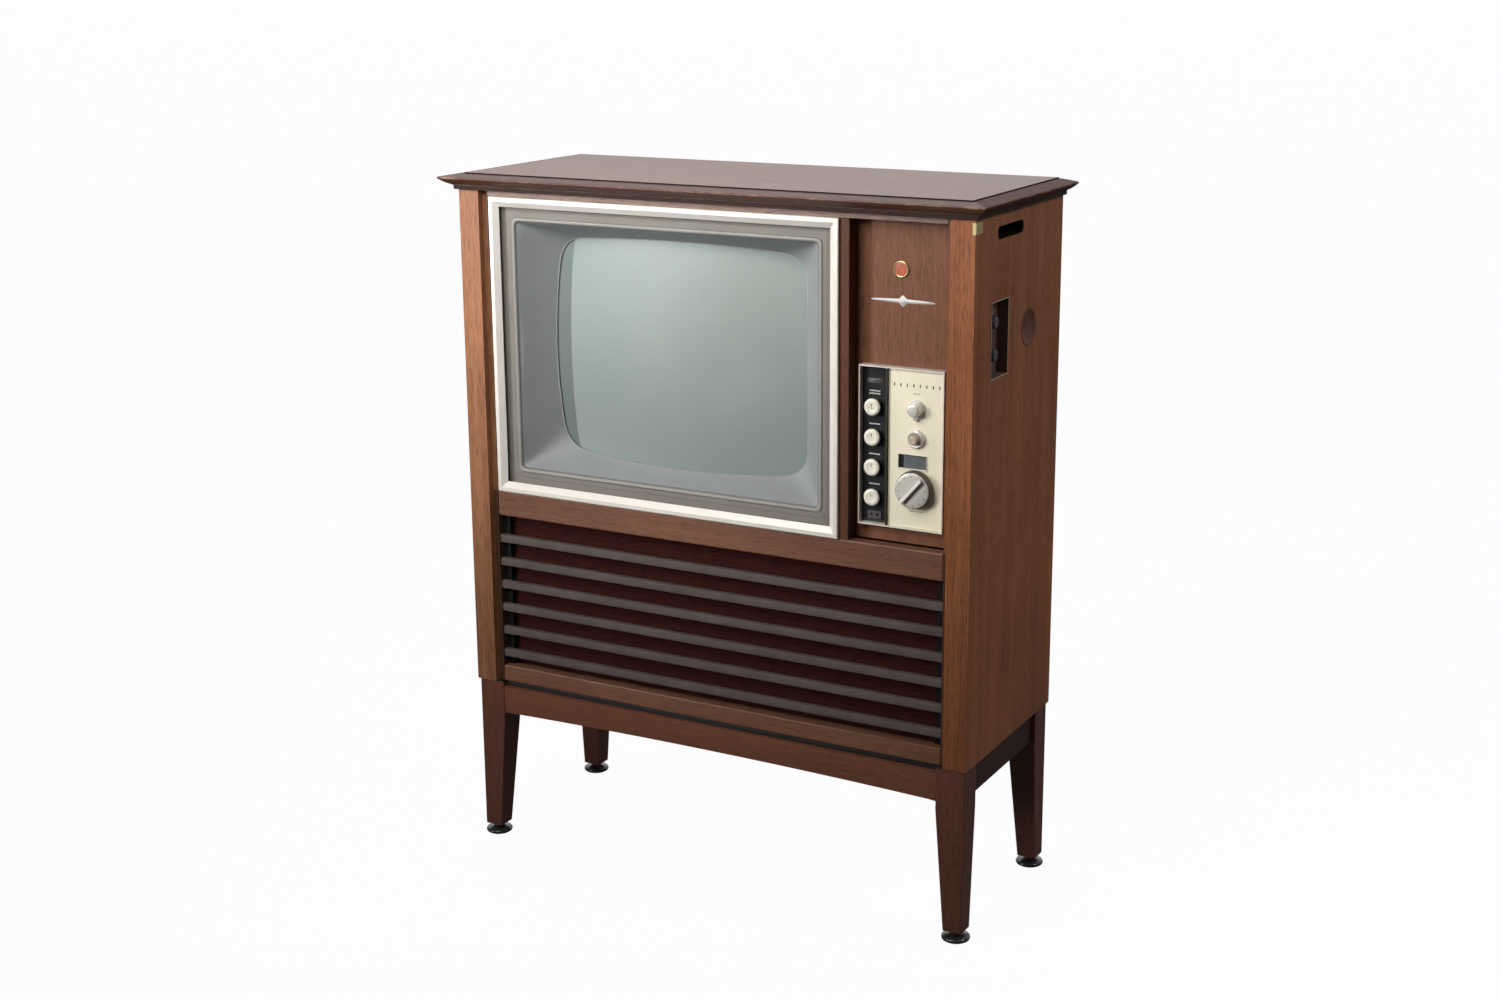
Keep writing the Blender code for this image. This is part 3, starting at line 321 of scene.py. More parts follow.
def tube_face(name, centre, half_width, half_height):
    """The picture tube's face: pale phosphor behind grey glass, with a dark border band that shows only along
    the left, a painted shadow of the mask's left edge.
    """
    r = Recipe(name)
    shares = []
    for index, place, size in ((0, centre[0], half_width), (2, centre[2], half_height)):
        offset = r.maths("SUBTRACT", r.axis(index), place)
        shares.append(r.maths("POWER", r.maths("ABSOLUTE", r.maths("DIVIDE", offset, size)), 12.0))
    edge = r.maths("ADD", *shares)
    grain = r.noise(1300.0, 2.0, 0.6)
    clouds = r.noise(7.0, 3.0, 0.5)
    phosphor = r.ramp(clouds, (0.3, (0.258, 0.302, 0.284)), (0.7, (0.292, 0.336, 0.316)))
    phosphor = r.mix(r.ramp(grain, (0.35, 0.0), (0.65, 0.16)), phosphor, (0.22, 0.262, 0.244))
    # Painted shadow: the dark border band, which the shift of the phosphor area leaves only along the left.
    colour = r.mix(r.ramp(edge, (0.85, 0.0), (1.0, 1.0)), phosphor, (0.145, 0.172, 0.168))
    return r.set(Base_Color=colour, Roughness=r.between(clouds, 0.42, 0.5),
                 Normal=r.bump(grain, 0.00004, 0.3), Specular_IOR_Level=0.3)


def pane(name, tint, dust=0.04):
    """Clear sheet glass: it lets light through, and its front mirrors more at a slant."""
    r = Recipe(name)
    smears = r.between(r.noise(9.0, 5.0, 0.65), 0.02, 0.02 + dust * 2)
    clear = r.add("ShaderNodeBsdfTransparent", {"Color": tint})
    mirror = r.add("ShaderNodeBsdfGlossy", {"Color": (0.95, 0.97, 1.0), "Roughness": smears})
    fresnel = r.add("ShaderNodeFresnel", {"IOR": 1.45}).outputs[0]
    leaving = r.add("ShaderNodeNewGeometry").outputs["Backfacing"]
    share = r.both(fresnel, r.maths("SUBTRACT", 1.0, leaving))
    r.tree.nodes.remove(r.shader)
    return r.show(r.blend(share, clear, mirror))


def tinted_pane(name, dark, light, cover):
    """Cloudy grey plastic pane that hides a part of what is behind it, dark along its left end: painted shade
    from the window's rim.
    """
    r = Recipe(name)
    streaks = r.noise(1.0, 3.0, 0.5, r.stretched((260.0, 260.0, 20.0)))
    clouds = r.noise(60.0, 4.0, 0.6)
    # Painted shade: the left end of the pane is near black, for the shadow of the window's rim.
    left = r.before(0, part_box("indicator_window")[0].x + 8.5 * MM)
    colour = r.mix(r.both(left, 0.9), r.ramp(streaks, (0.35, dark), (0.65, light)), (0.01, 0.01, 0.01))
    return r.set(Base_Color=colour, Roughness=r.between(clouds, 0.12, 0.22), Alpha=cover)


BAY_SPLIT = (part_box("control_strip")[1].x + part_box("control_plate")[0].x) / 2
BAY_WALL = 2.0 * MM
BAY_HEIGHT = [corner.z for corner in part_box("control_plate")]
# Where the tray's raised edge starts to be coloured pale: a painted highlight.
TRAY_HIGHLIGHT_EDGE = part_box("side_control_plate")[1].x - 0.3 * MM

# Painted sheen: the left panel's teak is a paler, greyer copy of the right panel's, for the glare on the lit
# left stile.
SHEEN_UPRIGHT_WOOD = wood("teak_upright", 2, (0.455, 0.205, 0.094), (0.215, 0.080, 0.037), gloss=0.42,
                    coat=0.06, panel=True, sheen=0.3)
RIGHT_WOOD = wood("teak_upright_right", 2, (0.47, 0.172, 0.066), (0.150, 0.046, 0.019), seed=3.1,
                  coat=0.03, band=45.0, panel=True, sheen=0.25)
RAIL_WOOD = wood("teak_rail", 0, (0.225, 0.104, 0.060), (0.120, 0.051, 0.030), seed=1.3, sheen=0.3)
# Painted light: the fascia's teak is paler and greyer than the rails', for light under the moulding's
# overhang.
LIT_FASCIA_WOOD = wood("fascia_wood_lit", 0, (0.40, 0.265, 0.215), (0.23, 0.145, 0.115), seed=2.2, sheen=0.3)
CONTROL_WOOD = wood("control_wood", 2, (0.228, 0.095, 0.049), (0.138, 0.052, 0.027), gloss=0.5,
                    seed=5.0, coat=0.03, sheen=0.25)
DIVIDER_WOOD = wood("divider_wood", 2, (0.13, 0.050, 0.030), (0.07, 0.025, 0.016), seed=4.4, sheen=0.2)
TOP_WOOD = wood("top_wood", 0, (0.33, 0.150, 0.088), (0.18, 0.074, 0.042), (0.07, 0.027, 0.018), 0.36,
                0.7, coat=0.2)
MOULDING_WOOD = wood("moulding_wood", 0, (0.150, 0.064, 0.041), (0.070, 0.026, 0.017), gloss=0.38,
                     seed=1.9, wear_and_highlight=PALE_WEAR_AND_HIGHLIGHT)
SIDE_MOULDING_WOOD = wood("side_moulding_wood", 1, (0.150, 0.064, 0.041), (0.070, 0.026, 0.017),
                          gloss=0.5, seed=2.9, wear_and_highlight=PALE_WEAR_AND_HIGHLIGHT, coat=0.0, sheen=0.12)
LEG_WOOD = wood("leg_wood", 2, (0.180, 0.066, 0.038), (0.090, 0.032, 0.020), LEG_PORE, 0.42, 0.4,
                sheen=0.3, shadow_line=LEG_SHADOW_LINE)
APRON_WOOD = wood("apron_wood", 0, (0.215, 0.080, 0.042), (0.115, 0.040, 0.022), LEG_PORE, 0.38, 6.1)
LIP_PAINT = paint("lip_paint", (0.034, 0.017, 0.013), 0.6, sheen=0.12)
INLAY = paint("inlay", (0.010, 0.006, 0.005), 0.85, sheen=0.1)
# Black paint, also used as painted shade for the strips in the recess under the cabinet.
BLACK_PAINT_AND_SHADE = paint("black_paint", (0.016, 0.014, 0.014), 0.5, sheen=0.35)
# Near-black painted shade, for the grille's end battens and the cups behind the hand slots.
SHADE_BLACK = paint("shade_black", (0.008, 0.007, 0.007), 0.8, sheen=0.1)
STAND_PAINT = paint("stand_paint", (0.050, 0.025, 0.018), 0.6, 0.2, sheen=0.25)
SLAT_PAINT = paint("slat_paint", (0.088, 0.070, 0.064), 0.6, 0.16, 0.0001, 0.3)
HARDBOARD = board("hardboard", (0.25, 0.130, 0.068), (0.125, 0.060, 0.032))
GRILLE_CLOTH = cloth("grille_cloth", (0.066, 0.015, 0.011), (0.008, 0.003, 0.003))
FRAME_METAL = brushed("frame_metal", (0.86, 0.81, 0.74), 0.36, (60.0, 1500.0, 60.0), 0.2, 0.06)
BEZEL_METAL = brushed("bezel_metal", (0.84, 0.77, 0.66), 0.34, (300.0, 1500.0, 300.0), 0.2, 0.06,
                      ((BAY_SPLIT - BAY_WALL, BAY_SPLIT + BAY_WALL), BAY_HEIGHT))
PLATE_METAL = brushed("plate_metal", (0.93, 0.85, 0.66), 0.42, (2200.0, 2200.0, 30.0), 0.1, 0.06)
DIAL_METAL = brushed("dial_metal", (0.66, 0.63, 0.56), 0.38, (1500.0, 1500.0, 1500.0), 0.2, 0.14)
GRIP_METAL = brushed("grip_metal", (0.93, 0.89, 0.84), 0.35, (1500.0, 1500.0, 1500.0), 0.1, 0.05)
# Dark metal for the dial's rim, also used as a painted shadow line at the foot of the grip bar.
DARK_RIM_AND_SHADE = brushed("dark_rim_and_shade", (0.15, 0.13, 0.11), 0.4, (900.0, 900.0, 900.0), 0.4, 0.2)
BRIGHT = brushed("bright_metal", (0.88, 0.86, 0.81), 0.3, (3200.0, 3200.0, 3200.0), 0.45, 0.05)
SPEAR_METAL = brushed("spear_metal", (0.90, 0.89, 0.86), 0.3, (60.0, 900.0, 900.0), 0.3, 0.1)
BRASS = brushed("brass", (0.83, 0.69, 0.34), 0.36, (90.0, 90.0, 900.0), 0.8, 0.14)
STEEL = brushed("steel", (0.55, 0.55, 0.53), 0.42, (120.0, 900.0, 900.0), 1.0, 0.2)
MASK_PAINT = paint("mask_paint", (0.280, 0.284, 0.292), 0.6, 0.04, 0.00005)
FLANGE_PAINT = paint("flange_paint", (0.225, 0.203, 0.177), 0.6, 0.05, 0.00005, 0.3)
# Painted highlight on the bead's crest and painted shadow on its sides.
BEAD_HIGHLIGHT_PAINT = paint("bead_highlight_paint", (0.30, 0.282, 0.258), 0.5, 0.05, 0.00005)
BEAD_SHADE_PAINT = paint("bead_shade_paint", (0.15, 0.145, 0.14), 0.6, 0.05, 0.00005)
CREAM_PLASTIC = plastic("cream_plastic", (0.80, 0.76, 0.64), 0.34, 0.05, 0.4)
# Painted shade: the cream button is coloured a darker brown, as it shows shaded in its collar.
SHADED_BUTTON_PLASTIC = plastic("shaded_button_plastic", (0.50, 0.40, 0.31), 0.4, 0.1, 0.3)
BLACK_PLASTIC = plastic("black_plastic", (0.014, 0.014, 0.015), 0.32, 0.3)
GREY_PLASTIC = plastic("grey_plastic", (0.075, 0.068, 0.068), 0.42, 0.2)
TRAY_PLASTIC = plastic("tray_plastic", (0.15, 0.085, 0.070), 0.5, 0.2, 0.05, TRAY_HIGHLIGHT_EDGE)
BROWN_PLASTIC = plastic("brown_plastic", (0.125, 0.044, 0.020), 0.62, 0.15, 0.0)
GLIDE_PLASTIC = plastic("glide_plastic", (0.030, 0.027, 0.027), 0.28, 0.3, 0.5)
NECK_GLASS = plastic("neck_glass", (0.16, 0.18, 0.17), 0.12, 0.05, 0.8)
RUBBER = plastic("rubber", (0.022, 0.020, 0.020), 0.7, 0.2, 0.0)
ENAMEL = plastic("enamel", (0.50, 0.13, 0.075), 0.3, 0.3, 0.3)
WHITE_PRINT = paint("white_print", (0.70, 0.69, 0.64), 0.6)
DARK_PRINT = paint("dark_print", (0.035, 0.030, 0.026), 0.7, sheen=0.2)
COPPER = brushed("copper_winding", (0.42, 0.17, 0.07), 0.4, (40.0, 2600.0, 2600.0), 0.5, 0.3)
PAPER = paint("speaker_paper", (0.045, 0.042, 0.038), 0.85, 0.2, 0.0003)
GRAPHITE = paint("graphite_coating", (0.022, 0.023, 0.024), 0.6, 0.2, 0.0002)
CLEAR_PANE = pane("clear_pane", (0.988, 0.992, 0.990))
SMOKED_PANE = tinted_pane("smoked_pane", (0.15, 0.162, 0.17), (0.215, 0.23, 0.24), 0.6)
DISC_GREY = plastic("disc_grey", (0.20, 0.215, 0.225), 0.45, 0.12)
DISC_PRINT = paint("disc_print", (0.29, 0.305, 0.315), 0.6)


# ---- mesh tools -----------------------------------------------------------------

def finish_piece(name, shape, look, angle=35.0, body="cabinet"):
    """Turns a bmesh, in metres, into a piece that rides on a body. look is one material or a list."""
    mesh = bpy.data.meshes.new(name)
    bmesh.ops.recalc_face_normals(shape, faces=shape.faces)
    shape.to_mesh(mesh)
    shape.free()
    for material in look if isinstance(look, list) else [look]:
        mesh.materials.append(material)
    mesh.shade_smooth()
    mesh.set_sharp_from_angle(angle=math.radians(angle))
    piece = bpy.data.objects.new(name, mesh)
    bpy.context.scene.collection.objects.link(piece)
    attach(piece, body)
    return piece


def skin_rows(shape, rows, ring=True, caps=True, looped=False):
    """Faces over rows of points (millimetres). A row of one point is a pole."""
    made = [[shape.verts.new(at(*point)) for point in row] for row in rows]
    for one, two in list(zip(made, made[1:])) + ([(made[-1], made[0])] if looped else []):
        count = max(len(one), len(two))
        for i in range(count if ring else count - 1):
            j = (i + 1) % count
            corners = []
            for vert in (one[i % len(one)], one[j % len(one)], two[j % len(two)], two[i % len(two)]):
                if vert not in corners:
                    corners.append(vert)
            shape.faces.new(corners)
    if caps and not looped:
        for row in (made[0], made[-1]):
            if len(row) > 2:
                shape.faces.new(row)
    return made


def skinned(name, rows, look, slot, angle=35.0, body="cabinet", **skin):
    shape = bmesh.new()
    skin_rows(shape, rows, **skin)
    return finish_piece(name, shape, look, angle, body)


def pick_looks(piece, rule):
    """Gives each face the material that rule(face) numbers."""
    for polygon in piece.data.polygons:
        polygon.material_index = rule(polygon)


def facing(direction, centre, u, v, h):
    """A point u, v across and h towards the way that a turned piece faces."""
    x, y, z = centre
    if direction == "front":
        return (x + u, y - h, z + v)
    if direction == "back":
        return (x - u, y + h, z + v)
    if direction == "right":
        return (x + h, y + u, z + v)
    return (x + u, y + v, z + h)


def lathe_rows(profile, centre, direction, steps, flutes=0, depth=0.0):
    """Rings for a profile of (radius, height) or (radius, height, fluted)."""
    rows = []
    for radius, height, *fluted in profile:
        if radius == 0:
            rows.append([facing(direction, centre, 0.0, 0.0, height)])
            continue
        ring = []
        for i in range(steps):
            angle = 2 * math.pi * i / steps
            r = radius - (depth * (0.5 + 0.5 * math.cos(flutes * angle)) if fluted else 0.0)
            ring.append(facing(direction, centre, r * math.cos(angle), r * math.sin(angle), height))
        rows.append(ring)
    return rows


def turned(name, profile, centre, direction, look, slot, steps=64, flutes=0, depth=0.0, body="cabinet"):
    rows = lathe_rows(profile, centre, direction, steps, flutes, depth)
    return skinned(name, rows, look, slot, body=body)


SHAFT_RADIUS = 3.0


def shaft(start, length):
    """The end of a knob's profile: its shaft, from start back through the panel it sits on."""
    return [(SHAFT_RADIUS, start), (SHAFT_RADIUS, -length), (0.0, -length)]


def add_block(shape, x, y, z):
    made = bmesh.ops.create_cube(shape, size=1.0)["verts"]
    low, high = at(x[0], y[0], z[0]), at(x[1], y[1], z[1])
    bmesh.ops.scale(shape, vec=high - low, verts=made)
    bmesh.ops.translate(shape, vec=(low + high) / 2, verts=made)
    return made


def blocks(name, spans_list, look, edge=0.3, segments=2, body="cabinet"):
    """Blocks with soft edges in one piece, each given by its x, y and z span."""
    shape = bmesh.new()
    for x, y, z in spans_list:
        add_block(shape, x, y, z)
    bmesh.ops.bevel(shape, geom=list(shape.edges), offset=edge * MM, segments=segments, affect="EDGES",
                    profile=0.5)
    return finish_piece(name, shape, look, 50.0, body)


def rounded(width, height, corner):
    """A rectangle with round corners, counter-clockwise seen from the front."""
    points = []
    steps = 6
    for quarter, (side_x, side_z) in enumerate(((1, 1), (-1, 1), (-1, -1), (1, -1))):
        for i in range(steps + 1):
            angle = math.pi / 2 * (quarter + i / steps)
            points.append((side_x * (width / 2 - corner) + corner * math.cos(angle),
                           side_z * (height / 2 - corner) + corner * math.sin(angle)))
    return points


def barrel(half_width, half_height, bulge_x, bulge_z, corner, side_steps=10, corner_steps=8):
    """A rectangle whose sides bow out and whose corners are round."""
    corner_x = half_width - bulge_x
    corner_z = half_height - bulge_z
    low = corner_z - corner
    near = corner_x - corner

    def upright(z):
        return half_width - bulge_x * (z / corner_z) ** 2

    def level(x):
        return half_height - bulge_z * (x / corner_x) ** 2

    quarter = [(upright(low * i / side_steps), low * i / side_steps) for i in range(side_steps)]
    quarter += curve((upright(low), low), (corner_x, corner_z), (near, level(near)), corner_steps)
    across = [near * (1 - i / side_steps) for i in range(1, side_steps)]
    quarter += [(x, level(x)) for x in across]
    upper = quarter + [(0.0, half_height)] + [(-x, z) for x, z in reversed(quarter)]
    return upper + [(x, -z) for x, z in reversed(upper[1:-1])]


def curve(start, control, end, steps):
    """Points from start to end, drawn towards control on the way."""
    points = []
    for i in range(steps + 1):
        t = i / steps
        first, last = (1 - t) ** 2, t ** 2
        pull = 1 - first - last
        points.append(tuple(first * a + pull * b + last * c for a, b, c in zip(start, control, end)))
    return points


def raised(outline, centre, y):
    """An outline of (across, up) set round a centre (x, z) at the depth y."""
    return [(centre[0] + u, y, centre[1] + v) for u, v in outline]


def lettering(name, words, size, depth, place, look, body):
    """Raised figures. words is a list of (text, x, z, turn) and place gives a point for (x, z, height)."""
    shape = bmesh.new()
    for text, x, z, turn in words:
        outline = bpy.data.curves.new(name + "_text", "FONT")
        outline.body = text
        outline.size = size
        outline.align_x = "CENTER"
        outline.align_y = "CENTER"
        outline.extrude = depth / 2
        outline.resolution_u = 3
        guide = bpy.data.objects.new(name + "_text", outline)
        bpy.context.scene.collection.objects.link(guide)
        mesh = bpy.data.meshes.new_from_object(guide.evaluated_get(bpy.context.evaluated_depsgraph_get()))
        bpy.data.objects.remove(guide, do_unlink=True)
        first = len(shape.verts)
        shape.from_mesh(mesh)
        shape.verts.ensure_lookup_table()
        for vert in shape.verts[first:]:
            u, v = Matrix.Rotation(turn, 2) @ Vector((vert.co.x, vert.co.y))
            vert.co = at(*place(x + u, z + v, vert.co.z))
        bpy.data.meshes.remove(mesh)
    bmesh.ops.remove_doubles(shape, verts=shape.verts, dist=1e-6)
    return finish_piece(name, shape, look, body=body)


def dress(look, edge, *nodes, segments=2):
    """Gives CAD nodes a material, and softens their sharp edges by edge millimetres."""
    for node in nodes:
        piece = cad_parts[node]
        piece.data.materials.clear()
        piece.data.materials.append(look)
        if edge:
            bevel = piece.modifiers.new("soft_edges", "BEVEL")
            bevel.width = edge * MM
            bevel.segments = segments
            bevel.limit_method = "ANGLE"
            bevel.angle_limit = math.radians(40.0)
            bevel.harden_normals = True


# ---- cabinet --------------------------------------------------------------------

def dress_cabinet():
    dress(SHEEN_UPRIGHT_WOOD, 1.2, "side_panel_left", segments=3)
    dress(RIGHT_WOOD, 1.2, "side_panel_right", segments=3)
    dress(TOP_WOOD, 0, "top_panel")
    dress(LIT_FASCIA_WOOD, 0, "top_rail")
    dress(RAIL_WOOD, 0, "middle_rail", "bottom_rail")
    dress(DIVIDER_WOOD, 0, "divider")
    dress(CONTROL_WOOD, 0.3, "control_board")
    dress(HARDBOARD, 0.3, "bottom_board")
    dress(HARDBOARD, 0, "speaker_baffle")
    dress(APRON_WOOD, 0.5, "apron_front", "apron_rear")
    dress(LEG_WOOD, 0, "leg_front_left", "leg_front_right", "leg_rear_left", "leg_rear_right")
    dress(STAND_PAINT, 0, "apron_left", "apron_right")


MOULD_X, MOULD_Y, MOULD_Z = spans("top_moulding_front")
OVERHANG = -MOULD_Y[0]
INSET = MOULD_Y[1]
BODY_X = MOULD_X[1] - OVERHANG
BODY_BACK = spans("top_panel")[1][1]
TOP = MOULD_Z[1]
LIP_TOP = TOP - 16.3
GROOVE_WIDTH = 1.1
STEP_DOWN = 1.3
CLEARANCE = 0.3
NOSE = 1.4


def moulding_profile():
    """(outwards from the cabinet's face, z, wear) round the moulding, from its inner lower corner. The wear
    pales the wood in patches, most on the nose: worn wood, and along the nose partly a painted highlight.
    """
    seam = GROOVE_WIDTH - INSET
    shelf = TOP - STEP_DOWN
    points = [(-INSET, LIP_TOP, 0.0), (-INSET, shelf - 0.5, 0.0), (seam, shelf - 0.5, 0.0),
              (seam, shelf - 0.1, 0.1), (seam + 0.2, shelf, 0.1)]
    for i in range(1, 5):
        share = i / 4
        out = seam * (1 - share) + (OVERHANG - 1.5) * share
        points.append((out, shelf - (4.3 - STEP_DOWN) * share ** 1.3, 0.25 * share))
    for i in range(6):
        angle = math.radians(75 - 27 * i)
        points.append((OVERHANG - NOSE + NOSE * math.cos(angle), TOP - 5.7 + NOSE * math.sin(angle), 1.0))
    under = curve(points[-1][:2], (14.5, TOP - 12.6), (6.5, TOP - 15.7), 8)
    return points + [(out, z, 0.0) for out, z in under[1:]] + [(6.5, LIP_TOP, 0.0)]


def lip_profile():
    bottom = MOULD_Z[0] + 0.1
    return [(-INSET, bottom, 0.0), (-INSET, LIP_TOP - 0.1, 0.0), (4.6, LIP_TOP - 0.1, 0.0),
            (5.0, LIP_TOP - 0.6, 0.0), (5.0, bottom + 0.4, 0.0), (4.6, bottom, 0.0)]


def inlay_profile():
    low, high = TOP - STEP_DOWN - 0.45, TOP - 0.1
    inner = -INSET + 0.05
    outer = inner + 0.8
    return [(inner, low, 0.0), (inner, high, 0.0), (outer, high, 0.0), (outer, low, 0.0)]


def mitred(name, profile, side, look):
    """A profile along the front (side 0) or a side (1 right, -1 left), mitred at the front corners."""
    shape = bmesh.new()
    wear = shape.verts.layers.float.new("wear")
    parts = 24
    rows = []
    for i in range(parts + 1):
        share = i / parts
        row = []
        for out, z, _ in profile:
            reach = BODY_X + out
            if side == 0:
                row.append(((2 * share - 1) * reach, -out, z))
            else:
                start = CLEARANCE - out
                row.append((side * reach, start + (BODY_BACK - start) * share, z))
        rows.append(row)
    for i, row in enumerate(skin_rows(shape, rows)):
        # The corners get full wear. Along the nose, the 0.3 share is partly a painted highlight.
        near_corner = 1.0 if i in ((0, parts) if side == 0 else (0,)) else 0.3
        for vert, point in zip(row, profile):
            vert[wear] = point[2] * near_corner
    return finish_piece(name, shape, look, 32.0)


def make_top():
    for side, word, wood_used in ((0, "front", MOULDING_WOOD), (-1, "left", SIDE_MOULDING_WOOD),
                                  (1, "right", SIDE_MOULDING_WOOD)):
        moulding = mitred("moulding_" + word, moulding_profile(), side, wood_used)
        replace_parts(moulding, "top_moulding_" + word)
        mitred("moulding_lip_" + word, lip_profile(), side, LIP_PAINT)
        mitred("inlay_" + word, inlay_profile(), side, INLAY)


# Inset and height of the black strips that are painted shade in the recess under the cabinet.
SHADOW_STRIP_INSET = (7.1, 7.9)
SHADOW_STRIP_HEIGHT = 7.0


def make_shadow_strips():
    """Black strips in the recess between the cabinet and its stand: painted shade, where the recess is dark.
    """
    near, far = SHADOW_STRIP_INSET
    for end in ("front", "rear"):
        x, y, z = spans("apron_" + end)
        depth = (y[0] + near, y[0] + far) if end == "front" else (y[1] - far, y[1] - near)
        height = (z[1] - 0.1 - SHADOW_STRIP_HEIGHT, z[1] - 0.1)
        blocks("shadow_strip_" + end, [((x[0] + 0.5, x[1] - 0.5), depth, height)], BLACK_PAINT_AND_SHADE,
               0.2)


# ---- screen ---------------------------------------------------------------------

GLASS_X, _, GLASS_Z = spans("safety_glass")
SCREEN_X = middle(GLASS_X)
SCREEN_Z = middle(GLASS_Z)
MASK_FRONT = spans("screen_mask")[1][0]
TUBE_Y = spans("picture_tube")[1]
TUBE_RADIUS = 800.0
OPENING = (197.3, 157.3)
OPENING_BULGE = (7.0, 10.0)
STEP = (234.0, 174.3)
SLOPE_ROWS = 8
SLOPE_SAG = 1.2


def flat_row(outline, y):
    return raised(outline, (SCREEN_X, SCREEN_Z), y)


def dished_row(outline, y):
    """The outline laid on the tube's round face, moved so that its middle is at y."""
    return [(SCREEN_X + x, y + (x * x + z * z) / (2 * TUBE_RADIUS), SCREEN_Z + z) for x, z in outline]


def blended_row(one, two, share, sag=0.0):
    drop = sag * math.sin(math.pi * share)
    return [tuple(a + (b - a) * share + (drop if i == 1 else 0.0) for i, (a, b) in enumerate(zip(p, q)))
            for p, q in zip(one, two)]


def step_row(grow, corner, y):
    """A row on the step between the flange and the slopes."""
    return flat_row(barrel(STEP[0] + grow, STEP[1] + grow, 0.0, 0.0, corner), MASK_FRONT + y)


def opening(grow, corner):
    return barrel(OPENING[0] + grow, OPENING[1] + grow, *OPENING_BULGE, corner)


def make_mask():
    """Flange, a raised bead round its inner edge, four sloping faces and a rolled lip. The bead's crest is
    coloured as a painted highlight and its two sides as a painted shadow.
    """
    front = MASK_FRONT
    border = barrel(half(GLASS_X), half(GLASS_Z), 0.0, 0.0, 3.0)
    bead = ((12.5, 10.0, 0.0), (11.6, 10.0, -0.5), (5.2, 9.0, -0.5), (4.0, 9.0, -1.6), (2.4, 8.5, -2.0),
            (0.9, 8.0, -1.7), (-0.4, 7.5, -0.6), (-1.2, 7.0, 1.0), (-2.4, 6.0, 1.6))
    rows = [flat_row(border, front + 2.0), flat_row(border, front)] + [step_row(*ring) for ring in bead]
    foot, edge = rows[-1], dished_row(opening(0.0, 34.0), TUBE_Y[0] - 2.8)
    rows += [blended_row(foot, edge, i / SLOPE_ROWS, SLOPE_SAG) for i in range(1, SLOPE_ROWS + 1)]
    lip = opening(-1.2, 33.0)
    rows += [dished_row(lip, TUBE_Y[0] - 2.3), dished_row(lip, TUBE_Y[0] - 0.7)]
    behind = dished_row(opening(1.0, 35.0), TUBE_Y[0] - 0.7)
    rows += [behind, blended_row(behind, step_row(1.0, 7.0, 3.6), 0.9), flat_row(border, front + 3.4)]
    paints = [MASK_PAINT, FLANGE_PAINT, BEAD_HIGHLIGHT_PAINT, BEAD_SHADE_PAINT]
    mask = skinned("mask", rows, paints, "mask_grey", 24.0, looped=True)
    flange, lit_and_shaded_bead_bands = (1, 1, 1, 1), (3, 2, 2, 2, 3, 3)
    bands = flange + lit_and_shaded_bead_bands

    def look(polygon):
        row = polygon.index // len(border)
        return bands[row] if row < len(bands) else 0

    pick_looks(mask, look)
    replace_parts(mask, "screen_mask")


RIM_HALF = (212.0, 171.0)
RIM_DEPTH = 38
FUNNEL_DEPTH = 200
NECK_RADIUS = 15.0
# The phosphor area is moved right so that its dark border shows only at the left: a painted shadow of the
# mask's edge.
PAINTED_SHADOW_SHIFT = 16.0
PHOSPHOR_HALF = (187.0, 174.0)


def make_tube():
    """The bulb: domed face, rim band, funnel and neck, with the funnel's dark coating."""
    rim = barrel(*RIM_HALF, 8.0, 10.0, 48.0, 8, 8)
    angles = [math.atan2(z, x) for x, z in rim]
    front, back = TUBE_Y
    funnel_start, funnel_end = front + RIM_DEPTH, front + FUNNEL_DEPTH

    def ring(radius, kept=0.0):
        """A circle, with a share of the rim's outline added to it."""
        return [(x * kept + radius * math.cos(angle), z * kept + radius * math.sin(angle))
                for (x, z), angle in zip(rim, angles)]

    rows = [[(SCREEN_X, front, SCREEN_Z)]]
    rows += [dished_row([(x * i / 10, z * i / 10) for x, z in rim], front) for i in range(1, 11)]
    face_rows = len(rows)
    rows.append(flat_row([(x * 1.01, z * 1.01) for x, z in rim], funnel_start))
    steps = 14
    for i in range(1, steps + 1):
        share = i / steps
        blend = min(1.0, share * 1.15)
        kept = (1 - blend) * (0.25 + 0.75 * (1 - share))
        radius = blend * (NECK_RADIUS + (1 - share) ** 1.25 * 150)
        rows.append(flat_row(ring(radius, kept), funnel_start + (funnel_end - funnel_start) * share))
    for y, radius in ((funnel_end + 12, NECK_RADIUS), (back - 2, NECK_RADIUS), (back, NECK_RADIUS - 2)):
        rows.append(flat_row(ring(radius), y))
    face = tube_face("tube_face", at(SCREEN_X + PAINTED_SHADOW_SHIFT, 0, SCREEN_Z),
                     *(size * MM for size in PHOSPHOR_HALF))
    tube = skinned("picture_tube_bulb", rows, [face, GRAPHITE, NECK_GLASS], "tube_glass", 50.0)

    def look(polygon):
        row = polygon.index // len(rim)
        return 0 if row < face_rows else (1 if row < face_rows + steps else 2)

    pick_looks(tube, look)
    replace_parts(tube, "picture_tube")


def dress_screen():
    dress(FRAME_METAL, 0.35, "screen_frame")
    dress(CLEAR_PANE, 0, "safety_glass")
    dress(COPPER, 0.6, "deflection_yoke")
    dress(BROWN_PLASTIC, 0, "tube_socket")


# ---- grille ---------------------------------------------------------------------

SLATS_X, SLATS_Y, SLATS_Z = spans("grille_slats")
SLAT_COUNT = 6
SLAT_PITCH = 34.2
SLAT_TOP_Z = 453.8
SLAT_HEIGHT = 11.0
SLAT_DEPTH = 8.0
SLAT_PARTS = 8
BATTEN_WIDTH = 12


